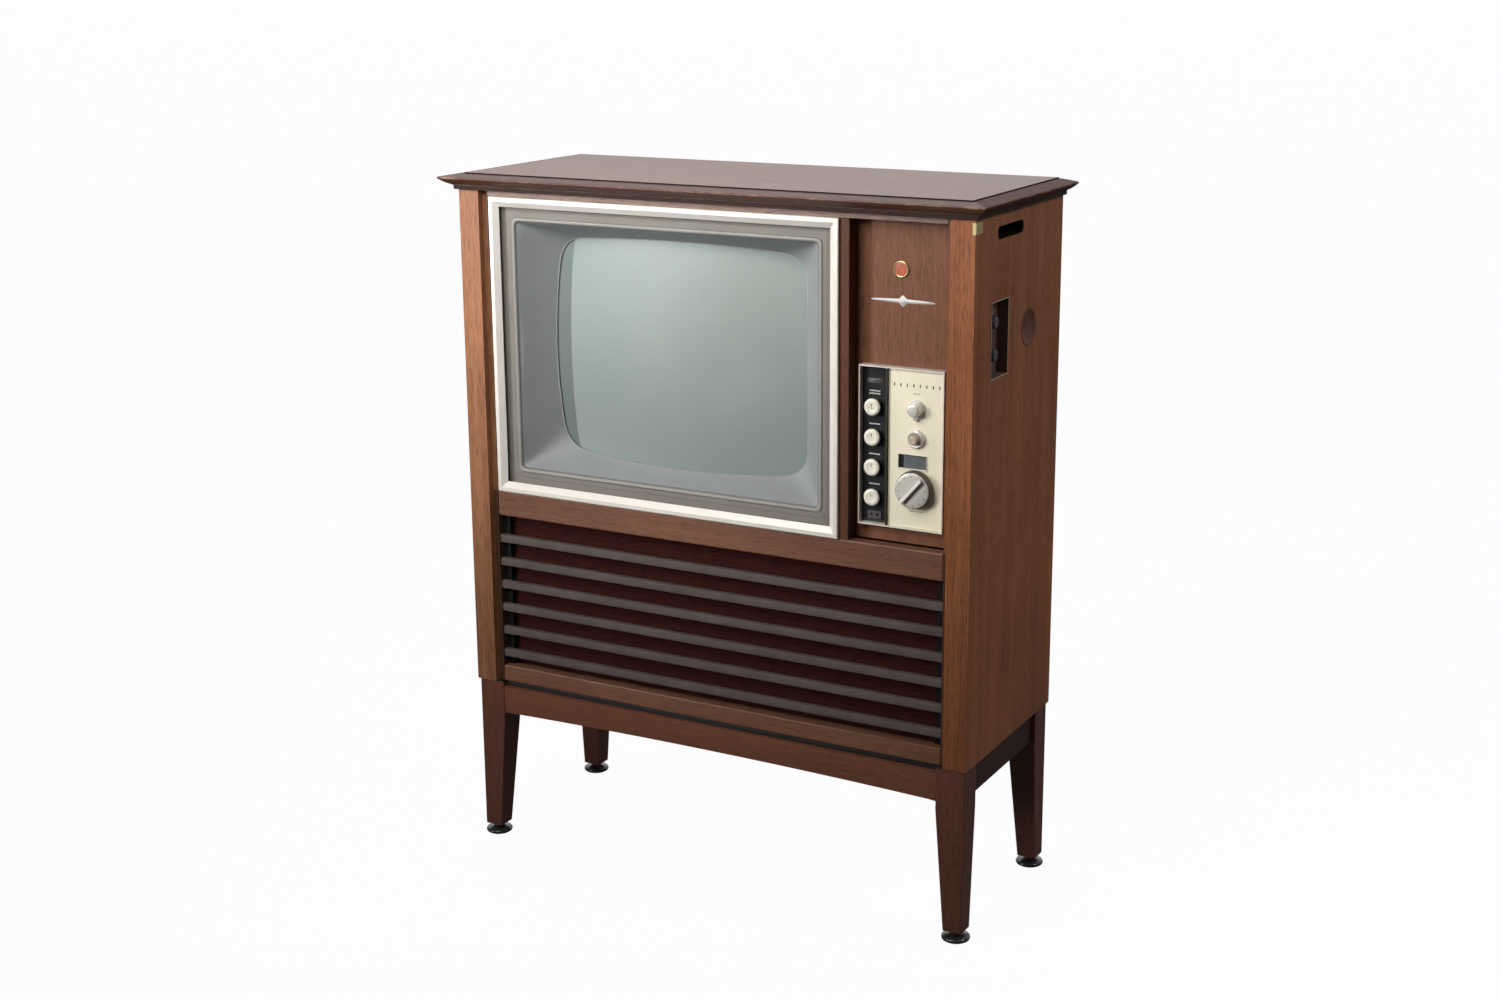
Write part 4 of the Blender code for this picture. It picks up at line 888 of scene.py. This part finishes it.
def slat_section(height, depth, corner, steps=4):
    """Section of a bar, (back, up), with round front corners and square back ones."""
    points = [(depth, -height / 2), (depth, height / 2)]
    turns = [math.pi / 2 * i / steps for i in range(steps + 1)]
    points += [(corner - corner * math.sin(a), height / 2 - corner + corner * math.cos(a)) for a in turns]
    points += [(corner - corner * math.cos(a), -height / 2 + corner - corner * math.sin(a)) for a in turns]
    return points


def make_grille():
    section = slat_section(SLAT_HEIGHT, SLAT_DEPTH, 0.7)
    front = SLATS_Y[0]
    for i in range(SLAT_COUNT):
        z = SLAT_TOP_Z - i * SLAT_PITCH
        rows = []
        for j in range(SLAT_PARTS + 1):
            x = SLATS_X[0] + (SLATS_X[1] - SLATS_X[0]) * j / SLAT_PARTS
            rows.append([(x, front + back, z + up) for back, up in section])
        slat = skinned(f"grille_slat_{i + 1}", rows, SLAT_PAINT, "slat_paint", 15.0)
        if i == 0:
            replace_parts(slat, "grille_slats")
    depth = (front + SLAT_DEPTH + 0.1, SLATS_Y[1])
    battens = [(x, depth, SLATS_Z) for x in ((SLATS_X[0], SLATS_X[0] + BATTEN_WIDTH),
                                             (SLATS_X[1] - BATTEN_WIDTH, SLATS_X[1]))]
    # The battens are near-black: painted shade at the ends of the grille, beside the stiles.
    blocks("grille_battens", battens, SHADE_BLACK, 0.5)


def make_grille_cloth():
    """The cloth behind the bars, stretched flat, with a slight unevenness between its threads."""
    x, y, z = spans("grille_cloth")
    columns, rows_up = 150, 50
    rows = []
    for j in range(rows_up + 1):
        v = z[0] + (z[1] - z[0]) * j / rows_up
        row = []
        for i in range(columns + 1):
            u = x[0] + (x[1] - x[0]) * i / columns
            wave = 0.12 * math.sin(u / 17.0) * math.cos(v / 11.0)
            row.append((u, middle(y) + wave, v))
        rows.append(row)
    sheet = skinned("grille_cloth_sheet", rows, GRILLE_CLOTH, "grille_cloth", ring=False, caps=False)
    wall = sheet.modifiers.new("thread_thickness", "SOLIDIFY")
    wall.thickness = 0.5 * MM
    wall.offset = 0.0
    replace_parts(sheet, "grille_cloth")


# ---- control panel --------------------------------------------------------------

STRIP_X, STRIP_Y, _ = spans("control_strip")
STRIP_FACE = STRIP_Y[0]
PLATE_FACE = spans("control_plate")[1][0]
KNOBS = (("volume_knob", "volume"), ("contrast_knob", "contrast"), ("brightness_knob", "brightness"),
         ("vertical_hold_knob", "vertical_hold"))


def dress_panel():
    dress(BEZEL_METAL, 0.45, "control_bezel")
    dress(BLACK_PLASTIC, 0.2, "control_strip")
    dress(PLATE_METAL, 0.2, "control_plate")
    dress(SMOKED_PANE, 0, "indicator_window")
    dress(DISC_GREY, 0, "channel_disc")
    dress(STEEL, 0, "tuner")
    dress(STEEL, 0.4, "chassis")
    dress(BLACK_PAINT_AND_SHADE, 0, "power_transformer")
    dress(PAPER, 0, "speaker_left", "speaker_right")


def printed(name, marks, face, look):
    """Flat marks, each an x and a z span, a hair proud of a face."""
    depth = (face - 0.12, face - 0.02)
    blocks(name, [(x, depth, z) for x, z in marks], look, 0.02, 1)


def row_of_marks(left, pitch, count, width, low, height):
    return [((left + pitch * i, left + pitch * i + width), (low, low + height)) for i in range(count)]


KNOB_SEAM = 3.4
MARK_DEPTH = (0.32, 1.12)


def knob_profile(radius, front):
    """A pale domed face on a dark fluted body, from the face to the shaft's end."""
    return [(0.0, front - 0.7), (radius * 0.3, front - 0.65), (radius * 0.5, front - 0.45),
            (radius * 0.58, front - 0.05), (radius * 0.66, front), (radius * 0.8, front - 0.3),
            (radius * 0.9, front - 0.9), (radius * 0.97, front - 1.7), (radius, front - 2.4),
            (radius, front - 3.2), (radius - 0.6, front - 3.5), (radius - 0.7, front - 3.9, True),
            (radius - 0.7, 1.8, True), (radius - 1.0, 1.3)] + shaft(1.3, 14.0)


def make_strip_knobs():
    for node, body in KNOBS:
        x, y, z = spans(node)
        radius = half(x)
        centre = (middle(x), STRIP_FACE, middle(z))
        knob = turned(node + "_cap", knob_profile(radius, STRIP_FACE - y[0]), centre, "front",
                      [CREAM_PLASTIC, BLACK_PLASTIC], "cream_plastic", 144, 36, 0.45, body=body)
        seam = STILE_FACE + (y[0] + KNOB_SEAM) * MM
        pick_looks(knob, lambda polygon: 1 if polygon.center.y > seam else 0)
        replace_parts(knob, node)
        depth = [y[0] + side for side in MARK_DEPTH]
        name, marks = node + "_mark", [((-0.35, 0.35), (radius * 0.12, radius * 0.5))]
        if node == "volume_knob":
            name = node + "_marks"
            marks = row_of_marks(-3.6, 2.7, 3, 1.7, -1.2, 0.8) + [((-0.5, 0.5), (1.4, 4.6))]
        spans_list = [([centre[0] + side for side in u], depth, [centre[2] + side for side in v])
                      for u, v in marks]
        blocks(name, spans_list, DARK_PRINT, 0.1, 1, body=body)


PATCH_LOW = 731.0
PATCH_RIBS = 5
JACKS_Z = 558.5


def make_strip_details():
    """Ribbed patch at the top, two-hole plate at the bottom, and short rows of marks over each knob."""
    middle_x = middle(STRIP_X)
    ribs = [((middle_x - 11.0, middle_x + 11.0), (STRIP_FACE - 0.9, STRIP_FACE - 0.05),
             (PATCH_LOW, PATCH_LOW + 6.0))]
    for i in range(PATCH_RIBS):
        low = PATCH_LOW + 0.5 + 1.1 * i
        ribs.append(((middle_x - 10.6, middle_x + 10.6), (STRIP_FACE - 1.3, STRIP_FACE - 0.8),
                     (low, low + 0.6)))
    blocks("strip_patch", ribs, GREY_PLASTIC, 0.12, 1)
    marks = []
    for node, _ in KNOBS:
        x, _, z = spans(node)
        for row in range(2 if node == "volume_knob" else 1):
            marks += row_of_marks(middle(x) - 7.4, 2.6, 6, 1.7, z[1] + 4.2 + 3.6 * row, 1.8)
    printed("strip_marks", marks, STRIP_FACE, WHITE_PRINT)
    shape = bmesh.new()
    outlines = [rounded(19.0, 9.6, 1.4), hole(2.1, -4.2), hole(2.1, 4.2)]
    plate_with_holes(shape, outlines, (middle_x, JACKS_Z), STRIP_FACE - 1.2, STRIP_FACE - 0.05)
    finish_piece("jack_plate", shape, GREY_PLASTIC)


def hole(radius, x, steps=24):
    return [(x + radius * math.cos(2 * math.pi * i / steps), radius * math.sin(2 * math.pi * i / steps))
            for i in range(steps)]


def plate_with_holes(shape, outlines, centre, front, back):
    """A flat plate with holes right through: its outline, then those of the holes."""
    layers = []
    for y in (front, back):
        edges, loops = [], []
        for outline in outlines:
            verts = [shape.verts.new(at(*point)) for point in raised(outline, centre, y)]
            loops.append(verts)
            edges += [shape.edges.new((vert, verts[(i + 1) % len(verts)])) for i, vert in enumerate(verts)]
        bmesh.ops.triangle_fill(shape, use_beauty=True, edges=edges)
        layers.append(loops)
    for one, two in zip(*layers):
        for i in range(len(one)):
            j = (i + 1) % len(one)
            shape.faces.new((one[i], one[j], two[j], two[i]))


SKIRT_RADIUS = 11.6
POINTER_REACH = 15.5


def make_tone_knob():
    """Bright knob on a round skirt that runs out to a point."""
    x, y, z = spans("tone_knob")
    centre = (middle(x), PLATE_FACE, z[1] - SKIRT_RADIUS)
    face = PLATE_FACE - y[0]
    profile = [(0.0, face), (5.4, face), (6.6, face - 0.2), (7.6, face - 0.8), (8.2, face - 1.8),
               (9.0, 4.0, True), (9.4, 3.4), (9.4, 2.7)] + shaft(2.7, 12.0)
    knob = turned("tone_knob_cap", profile, centre, "front", BRIGHT, "chrome", 96, 24, 0.3, body="tone")
    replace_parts(knob, "tone_knob")
    touch = math.acos(SKIRT_RADIUS / POINTER_REACH)
    steps = 64
    rows = []
    for height, shrink in ((0.9, 0.0), (2.2, 0.0), (2.75, 0.5)):
        row = []
        for i in range(steps):
            angle = 2 * math.pi * i / steps
            off = abs((angle - 1.5 * math.pi + math.pi) % (2 * math.pi) - math.pi)
            radius = SKIRT_RADIUS if off >= touch else SKIRT_RADIUS / math.cos(touch - off)
            row.append(facing("front", centre, (radius - shrink) * math.cos(angle),
                              (radius - shrink) * math.sin(angle), height))
        rows.append(row)
    skinned("tone_knob_skirt", rows, BRIGHT, "chrome", 25.0, body="tone")
    line = ((centre[0] - 6.0, centre[0] + 6.0), (y[0] + 0.02, y[0] + 0.6), (centre[2] - 2.6, centre[2] - 1.7))
    blocks("tone_knob_line", [line], GREY_PLASTIC, 0.15, 1, body="tone")


def make_button():
    x, y, z = spans("push_button")
    centre = (middle(x), PLATE_FACE, middle(z))
    radius = half(x)
    face = PLATE_FACE - y[0]
    profile = [(0.0, face - 0.5), (radius * 0.45, face - 0.4), (radius * 0.66, face - 0.05),
               (radius * 0.78, face - 0.1), (radius * 0.9, face - 0.6), (radius * 0.98, face - 1.6),
               (radius, face - 2.4), (radius, -6.0), (0.0, -6.0)]
    button = turned("push_button_cap", profile, centre, "front", SHADED_BUTTON_PLASTIC, "cream_plastic",
                    body="button")
    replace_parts(button, "push_button")
    outer = half(spans("button_collar")[0])
    bore = radius + 0.4
    section = [(bore, 0.3), (outer, 0.3), (outer, 1.2), (outer - 0.5, 3.0), (outer - 1.3, 4.2),
               (outer - 2.3, 4.6), (outer - 3.4, 4.2), (outer - 4.4, 3.0), (bore + 0.5, 1.9), (bore, 1.5)]
    rows = lathe_rows(section, centre, "front", 72)
    collar = skinned("button_ring", rows, BRIGHT, "chrome", 40.0, looped=True)
    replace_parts(collar, "button_collar")


CHANNELS = 12
BAR_ANGLE = math.radians(49)
DIAL_FACE = 13.2
BEVEL_WIDTH = 6.5


def channel_figures(ring, first, turn):
    """The numbers 1 to 12 round a ring: (text, x, z, turn)."""
    words = []
    for i in range(CHANNELS):
        angle = first + turn * 2 * math.pi * i / CHANNELS
        words.append((str(i + 1), ring * math.cos(angle), ring * math.sin(angle), angle - math.pi / 2))
    return words


def make_channel_dial():
    """Dial with a bevelled rim, twelve numbers, ticks, and a slanting grip bar."""
    x, y, z = spans("channel_knob")
    centre = (middle(x), PLATE_FACE, middle(z))
    radius, face, body = half(x), DIAL_FACE, "channel_selector"
    profile = [(0.0, face), (radius - BEVEL_WIDTH, face), (radius - 2.6, face - 0.5),
               (radius - 1.6, face - 1.0), (radius - 0.9, face - 2.0), (radius - 0.5, face - 3.2, True),
               (radius, 3.8, True), (radius, 3.0), (radius, 2.0), (radius - 0.8, 1.5)] + shaft(1.5, 20.0)
    dial = turned("channel_dial", profile, centre, "front", [DIAL_METAL, DARK_RIM_AND_SHADE], "cream_metal",
                  180, 60, 0.35, body=body)

    def on_rim(polygon):
        reach = math.hypot(polygon.center.x - centre[0] * MM, polygon.center.z - centre[2] * MM)
        return 1 if reach > (radius - 1.9) * MM else 0

    pick_looks(dial, on_rim)
    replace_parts(dial, "channel_knob")
    length, width = 2 * radius - 7.0, 5.0
    crest = PLATE_FACE - y[0]
    rows = []
    for height, shrink in ((face - 0.3, 0.0), (face + 0.6, 0.1), (crest - 1.0, 0.3), (crest - 0.3, 0.5),
                           (crest, 0.9)):
        rows.append([facing("front", centre, u * math.cos(BAR_ANGLE) - v * math.sin(BAR_ANGLE),
                            u * math.sin(BAR_ANGLE) + v * math.cos(BAR_ANGLE), height)
                     for u, v in rounded(length - 2 * shrink, width - 2 * shrink, 1.9 - shrink * 0.5)])
    grip = skinned("channel_grip", rows, [GRIP_METAL, DARK_RIM_AND_SHADE], "cream_metal", 30.0, body=body)
    # Painted shadow: the band at the bar's foot takes the dark rim metal, a shadow line round its base.
    foot = STILE_FACE + (centre[1] - face - 0.5) * MM
    pick_looks(grip, lambda polygon: 1 if polygon.center.y > foot else 0)
    words = channel_figures(radius - 6.0, BAR_ANGLE + math.pi / 12, 1)
    ticks = bmesh.new()
    middle_face = Vector((centre[0], centre[1] - face + 0.55, centre[2])) * MM
    for *_, turn in words:
        tick = add_block(ticks, (-0.5, 0.5), (-0.06, 0.3), (radius - 4.3, radius - 1.9))
        bmesh.ops.rotate(ticks, cent=at(0, 0, 0), matrix=Matrix.Rotation(-turn, 3, "Y"), verts=tick)
        bmesh.ops.translate(ticks, vec=middle_face, verts=tick)
    finish_piece("channel_ticks", ticks, DARK_PRINT, body=body)

    def on_face(u, v, height):
        reach = max(0.0, math.hypot(u, v) - (radius - BEVEL_WIDTH))
        return centre[0] + u, centre[1] - face + 0.128 * reach - 0.05 - height, centre[2] + v

    lettering("channel_numbers", words, 3.6, 0.12, on_face, DARK_PRINT, body)


def make_disc_numbers():
    """Pale figures on the disc behind the window, so that the one on top shows the channel."""
    x, y, z = spans("channel_disc")

    def on_disc(u, v, height):
        return middle(x) + u, y[0] - 0.1 - height, middle(z) + v

    lettering("channel_disc_numbers", channel_figures(half(x) - 9.5, math.pi / 2, -1), 9.5, 0.12, on_disc,
              DISC_PRINT, "channel_selector")


STROKES, STROKES_Z, STROKES_HEIGHT = 8, 731.2, 4.2
LABELS = ((722.6, 3), (688.5, 3), (570.2, 6))


def make_plate_details():
    """Rim round the window, a row of strokes, and rows of marks. LABELS has each row's z and number."""
    x, _, z = spans("indicator_window")
    width, height = 2 * half(x) - 4.6, 2 * half(z) - 4.6
    centre = (middle(x), middle(z))
    rows = []
    for grow, depth, corner in ((0.05, 2.2, 0.85), (0.05, -0.3, 0.85), (0.5, -0.65, 1.3), (1.2, -0.65, 2.0),
                                (1.6, -0.3, 2.4), (1.6, -0.02, 2.4), (0.45, -0.02, 1.2), (0.15, 2.2, 1.0)):
        outline = rounded(width + 2 * grow, height + 2 * grow, corner)
        rows.append(raised(outline, centre, PLATE_FACE + depth))
    skinned("window_rim", rows, BEZEL_METAL, "satin_metal", 30.0, looped=True)
    knob_x = middle(spans("channel_knob")[0])
    marks = row_of_marks(knob_x - 31.75, 62.0 / (STROKES - 1), STROKES, 1.5, STROKES_Z, STROKES_HEIGHT)
    for low, count in LABELS:
        marks += row_of_marks(knob_x - (count - 1) / 2 * 3.4 - 0.9, 3.4, count, 1.8, low, 0.9)
    printed("plate_marks", marks, PLATE_FACE, DARK_PRINT)


BADGE_X, BADGE_Z = 270.5, 878.0
SPEAR_X, SPEAR_Z = 272.7, 838.0
SPEAR_LENGTH = 88.0


def make_badge():
    """A plain round badge, and a plain chrome spear in place of a name."""
    board_y = spans("control_board")[1][0]
    centre = (BADGE_X, board_y, BADGE_Z)
    rim = [(0.0, 1.0), (8.2, 1.0), (8.6, 1.9), (9.4, 2.3), (10.2, 1.9), (10.6, 0.9), (10.6, 0.05),
           (0.0, 0.05)]
    turned("badge_rim", rim, centre, "front", BRASS, "brass")
    enamel = [(0.0, 1.9), (5.0, 1.8), (8.2, 1.45), (8.2, 1.02), (0.0, 1.02)]
    turned("badge_enamel", enamel, centre, "front", ENAMEL, "brown_plastic")
    rows = []
    parts = 48
    for i in range(parts + 1):
        share = 2 * i / parts - 1
        taper = (1 - abs(share)) ** 0.5
        lozenge = max(0.0, 1 - abs(share) / 0.13)
        tall = 0.4 + 2.4 * taper + 4.6 * lozenge
        deep = 0.4 + 1.5 * taper + 0.9 * lozenge
        x = SPEAR_X + SPEAR_LENGTH / 2 * share
        edges = ((0.05, -tall), (deep, -tall * 0.12), (deep, tall * 0.12), (0.05, tall))
        rows.append([(x, board_y - out, SPEAR_Z + up) for out, up in edges])
    skinned("chrome_spear", rows, SPEAR_METAL, "chrome", 20.0)


# ---- right side -----------------------------------------------------------------

SIDE_KNOB_HEIGHT = 11.5


def make_side_controls():
    dress(TRAY_PLASTIC, 0.25, "side_control_plate")
    dress(BRASS, 0.15, "corner_clip")
    for word in ("upper", "lower"):
        node, body = "side_knob_" + word, "side_control_" + word
        x, y, z = spans(node)
        radius = half(y)
        centre = (x[1] - SIDE_KNOB_HEIGHT, middle(y), middle(z))
        profile = [(0.0, 10.9), (radius * 0.5, 11.0), (radius * 0.66, 11.5), (radius * 0.78, 11.2),
                   (radius * 0.86, 10.2), (radius * 0.9, 9.2, True), (radius, 3.4, True), (radius, 2.4),
                   (radius, 1.4)] + shaft(1.4, 12.0)
        knob = turned(node + "_cap", profile, centre, "right", GREY_PLASTIC, "grey_plastic", 96, 24, 0.5,
                      body=body)
        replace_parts(knob, node)
        mark = ((x[1] - 0.55, x[1] - 0.02), (centre[1] - 0.4, centre[1] + 0.4),
                (centre[2] + 2.0, centre[2] + 5.4))
        blocks(node + "_mark", [mark], WHITE_PRINT, 0.1, 1, body=body)


CUP_OUTER = 364.4
CUP_DEPTH = 12.0
CUP_WALL = 2.0
CUP_Y = (67.0, 159.0)
CUP_Z = (912.0, 937.0)


def make_shade_cups():
    """Shallow black cups behind the hand slots: painted shade for the dark inside of the cabinet, so that
    nothing shows through.
    """
    x = (CUP_OUTER - CUP_DEPTH, CUP_OUTER)
    parts = [((x[0], x[0] + CUP_WALL), CUP_Y, CUP_Z),
             (x, (CUP_Y[0], CUP_Y[0] + CUP_WALL), CUP_Z), (x, (CUP_Y[1] - CUP_WALL, CUP_Y[1]), CUP_Z),
             (x, CUP_Y, (CUP_Z[0], CUP_Z[0] + CUP_WALL)), (x, CUP_Y, (CUP_Z[1] - CUP_WALL, CUP_Z[1]))]
    for side, sign in (("left", -1), ("right", 1)):
        mirrored = [(sorted((sign * x[0], sign * x[1])), y, z) for x, y, z in parts]
        blocks("shade_cup_" + side, mirrored, SHADE_BLACK, 0.2, 1)


def cap_height(share, from_nick, radius):
    """How far the cap's face stands out of its rim's plane, for a share of its radius."""
    if share > 0.97:
        return 0.15
    bowl = 3.0 * min(1.0, share / 0.86) ** 3 - 3.0
    ridge = 0.4 * max(0.0, min(1.0, (share - 0.84) / 0.05))
    return bowl + ridge - 2.2 * math.sin(math.pi / 2 * max(0.0, 1 - from_nick / (radius * 0.5)))


def make_side_cap():
    """Round plastic cap with a finger hollow towards the front."""
    x, y, z = spans("side_cap")
    radius = half(y)
    centre = (x[1] - 0.4, middle(y), middle(z))
    rings, steps = 26, 96
    rows = [[facing("right", centre, 0.0, 0.0, -3.0)]]
    for i in range(1, rings + 1):
        share = i / rings
        row = []
        for j in range(steps):
            angle = 2 * math.pi * j / steps
            u, v = radius * share * math.cos(angle), radius * share * math.sin(angle)
            height = cap_height(share, math.hypot(u + radius * 0.45, v), radius)
            row.append(facing("right", centre, u, v, height))
        rows.append(row)
    rows.append([(x[0], centre[1] + (p[1] - centre[1]) * 0.995, centre[2] + (p[2] - centre[2]) * 0.995)
                 for p in rows[-1]])
    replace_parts(skinned("side_cap_disc", rows, BROWN_PLASTIC, "brown_plastic", 40.0), "side_cap")


# ---- feet and back --------------------------------------------------------------

def make_feet():
    for name in ("front_left", "front_right", "rear_left", "rear_right"):
        x, y, z = spans("glide_" + name)
        radius = half(x)
        stem = [(0.0, z[1]), (3.4, z[1]), (4.0, z[1] - 0.6), (4.0, 12.0), (5.4, 11.8), (7.2, 11.0),
                (8.0, 9.6), (9.4, 8.4), (12.5, 7.6)]
        disc = [(radius - 2.4, 6.6), (radius - 0.8, 5.6), (radius, 4.4), (radius, 2.8), (radius - 0.6, 1.4),
                (radius - 2.2, 0.4), (radius - 4.0, 0.0), (0.0, 0.0)]
        foot = turned("foot_" + name, stem + disc, (middle(x), middle(y), 0.0), "up", GLIDE_PLASTIC,
                      "glide_plastic", 72, body="foot_" + name)
        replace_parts(foot, "glide_" + name)


SCREW_INSET = (14, 12)


def make_back():
    dress(HARDBOARD, 0.3, "rear_cover")
    dress(BLACK_PLASTIC, 0, "neck_cup")
    dress(RUBBER, 0, "cord_inlet")
    dress(BROWN_PLASTIC, 0, "antenna_terminal")
    x, y, z = spans("rear_cover")
    left, right = x[0] + SCREW_INSET[0], x[1] - SCREW_INSET[0]
    low, high = z[0] + SCREW_INSET[1], z[1] - SCREW_INSET[1]
    places = [(left + (right - left) * i / 4, up) for i in range(5) for up in (low, high)]
    places += [(across, low + (high - low) * i / 4) for i in range(1, 4) for across in (left, right)]
    head = [(0.0, 2.4), (2.4, 2.2), (3.6, 1.5), (4.1, 0.7), (4.1, 0.6), (6.4, 0.55), (6.8, 0.3),
            (6.8, 0.05), (0.0, 0.05)]
    shape = bmesh.new()
    for across, up in places:
        skin_rows(shape, lathe_rows(head, (across, y[1], up), "back", 28))
    finish_piece("rear_cover_screws", shape, STEEL)


# ---- stage ----------------------------------------------------------------------

FLOOR_REACH = 60.0


def make_floor():
    """White studio floor, which can't be seen from below."""
    reach = FLOOR_REACH
    mesh = bpy.data.meshes.new("studio_floor")
    mesh.from_pydata([(-reach, -reach, 0), (reach, -reach, 0), (reach, reach, 0), (-reach, reach, 0)], [],
                     [(0, 1, 2, 3)])
    floor = bpy.data.objects.new("studio_floor", mesh)
    bpy.context.scene.collection.objects.link(floor)
    r = Recipe("studio_floor")
    clouds = r.noise(1.5, 2.0, 0.5)
    r.set(Base_Color=r.ramp(clouds, (0.3, (0.13, 0.129, 0.13)), (0.7, (0.15, 0.149, 0.15))), Roughness=0.8)
    glow = r.add("ShaderNodeEmission", {"Color": (0.995, 0.985, 1.0), "Strength": 1.14})
    seen = r.add("ShaderNodeLightPath").outputs["Is Camera Ray"]
    above = r.blend(r.both(seen, 0.86), r.shader, glow)
    below = r.add("ShaderNodeNewGeometry").outputs["Backfacing"]
    mesh.materials.append(r.show(r.blend(below, above, r.add("ShaderNodeBsdfTransparent"))))


def make_world():
    """Even pale light, brighter from behind and to the left."""
    world = bpy.data.worlds.new("studio")
    bpy.context.scene.world = world
    world.use_nodes = True
    tree = world.node_tree
    place = add_node(tree, "ShaderNodeTexCoord").outputs["Generated"]
    across = add_node(tree, "ShaderNodeVectorMath", {0: place, 1: (-0.35, 0.85, -0.1)},
                      operation="DOT_PRODUCT").outputs["Value"]
    behind = add_node(tree, "ShaderNodeMapRange", {"Value": across, "From Min": 0.0, "From Max": 0.8,
                                                   "To Min": 0.06, "To Max": 0.95}).outputs["Result"]
    seen = add_node(tree, "ShaderNodeLightPath").outputs["Is Camera Ray"]
    strength = add_node(tree, "ShaderNodeMix", {0: seen, 2: behind, 3: 1.0}).outputs[0]
    background = tree.nodes["Background"]
    feed(tree, background.inputs["Color"], (0.985, 0.985, 1.0))
    feed(tree, background.inputs["Strength"], strength)


def make_light(name, place, target, size, power, spread, colour=(1.0, 1.0, 1.0)):
    data = bpy.data.lights.new(name, "AREA")
    data.shape = "DISK"
    data.size = size
    data.energy = power
    data.spread = math.radians(spread)
    data.color = colour
    light = bpy.data.objects.new(name, data)
    bpy.context.scene.collection.objects.link(light)
    light.location = place
    light.rotation_euler = (Vector(target) - Vector(place)).to_track_quat("-Z", "Y").to_euler()


CAMERA_PLACE = (1.3399, -2.4510, 1.2659)
CAMERA_YAW = math.radians(29.071)
CAMERA_PITCH = math.radians(13.780)
CAMERA_ROLL = math.radians(-0.406)
CAMERA_LENS = 49.485
CAMERA_SHIFT = -0.03


def make_camera():
    data = bpy.data.cameras.new("camera")
    data.lens = CAMERA_LENS
    data.shift_y = CAMERA_SHIFT
    camera = bpy.data.objects.new("camera", data)
    bpy.context.scene.collection.objects.link(camera)
    forward = Vector((-math.sin(CAMERA_YAW) * math.cos(CAMERA_PITCH),
                      math.cos(CAMERA_YAW) * math.cos(CAMERA_PITCH), -math.sin(CAMERA_PITCH)))
    level = Vector((math.cos(CAMERA_YAW), math.sin(CAMERA_YAW), 0.0))
    above = level.cross(forward)
    right = math.cos(CAMERA_ROLL) * level + math.sin(CAMERA_ROLL) * above
    up = -math.sin(CAMERA_ROLL) * level + math.cos(CAMERA_ROLL) * above
    turn = Matrix((right, up, -forward)).transposed()
    camera.matrix_world = Matrix.Translation(CAMERA_PLACE) @ turn.to_4x4()
    bpy.context.scene.camera = camera


bpy.context.scene.view_settings.view_transform = "Standard"
make_camera()
make_world()
make_floor()
make_light("key", (-0.15, -1.15, 1.52), (-0.12, -0.15, 0.95), 0.75, 5.6, 105, (1.0, 0.985, 0.96))
make_light("glare", (-1.7, -2.2, 1.27), (-0.25, -0.17, 1.0), 0.75, 5.0, 50)
make_light("fill", (2.1, 0.15, 2.1), (0.38, 0.1, 0.8), 1.0, 15.0, 180)

dress_cabinet()
make_top()
make_shadow_strips()
dress_screen()
make_mask()
make_tube()
make_grille()
make_grille_cloth()
dress_panel()
make_strip_knobs()
make_strip_details()
make_tone_knob()
make_button()
make_channel_dial()
make_disc_numbers()
make_plate_details()
make_badge()
make_side_controls()
make_shade_cups()
make_side_cap()
make_feet()
make_back()
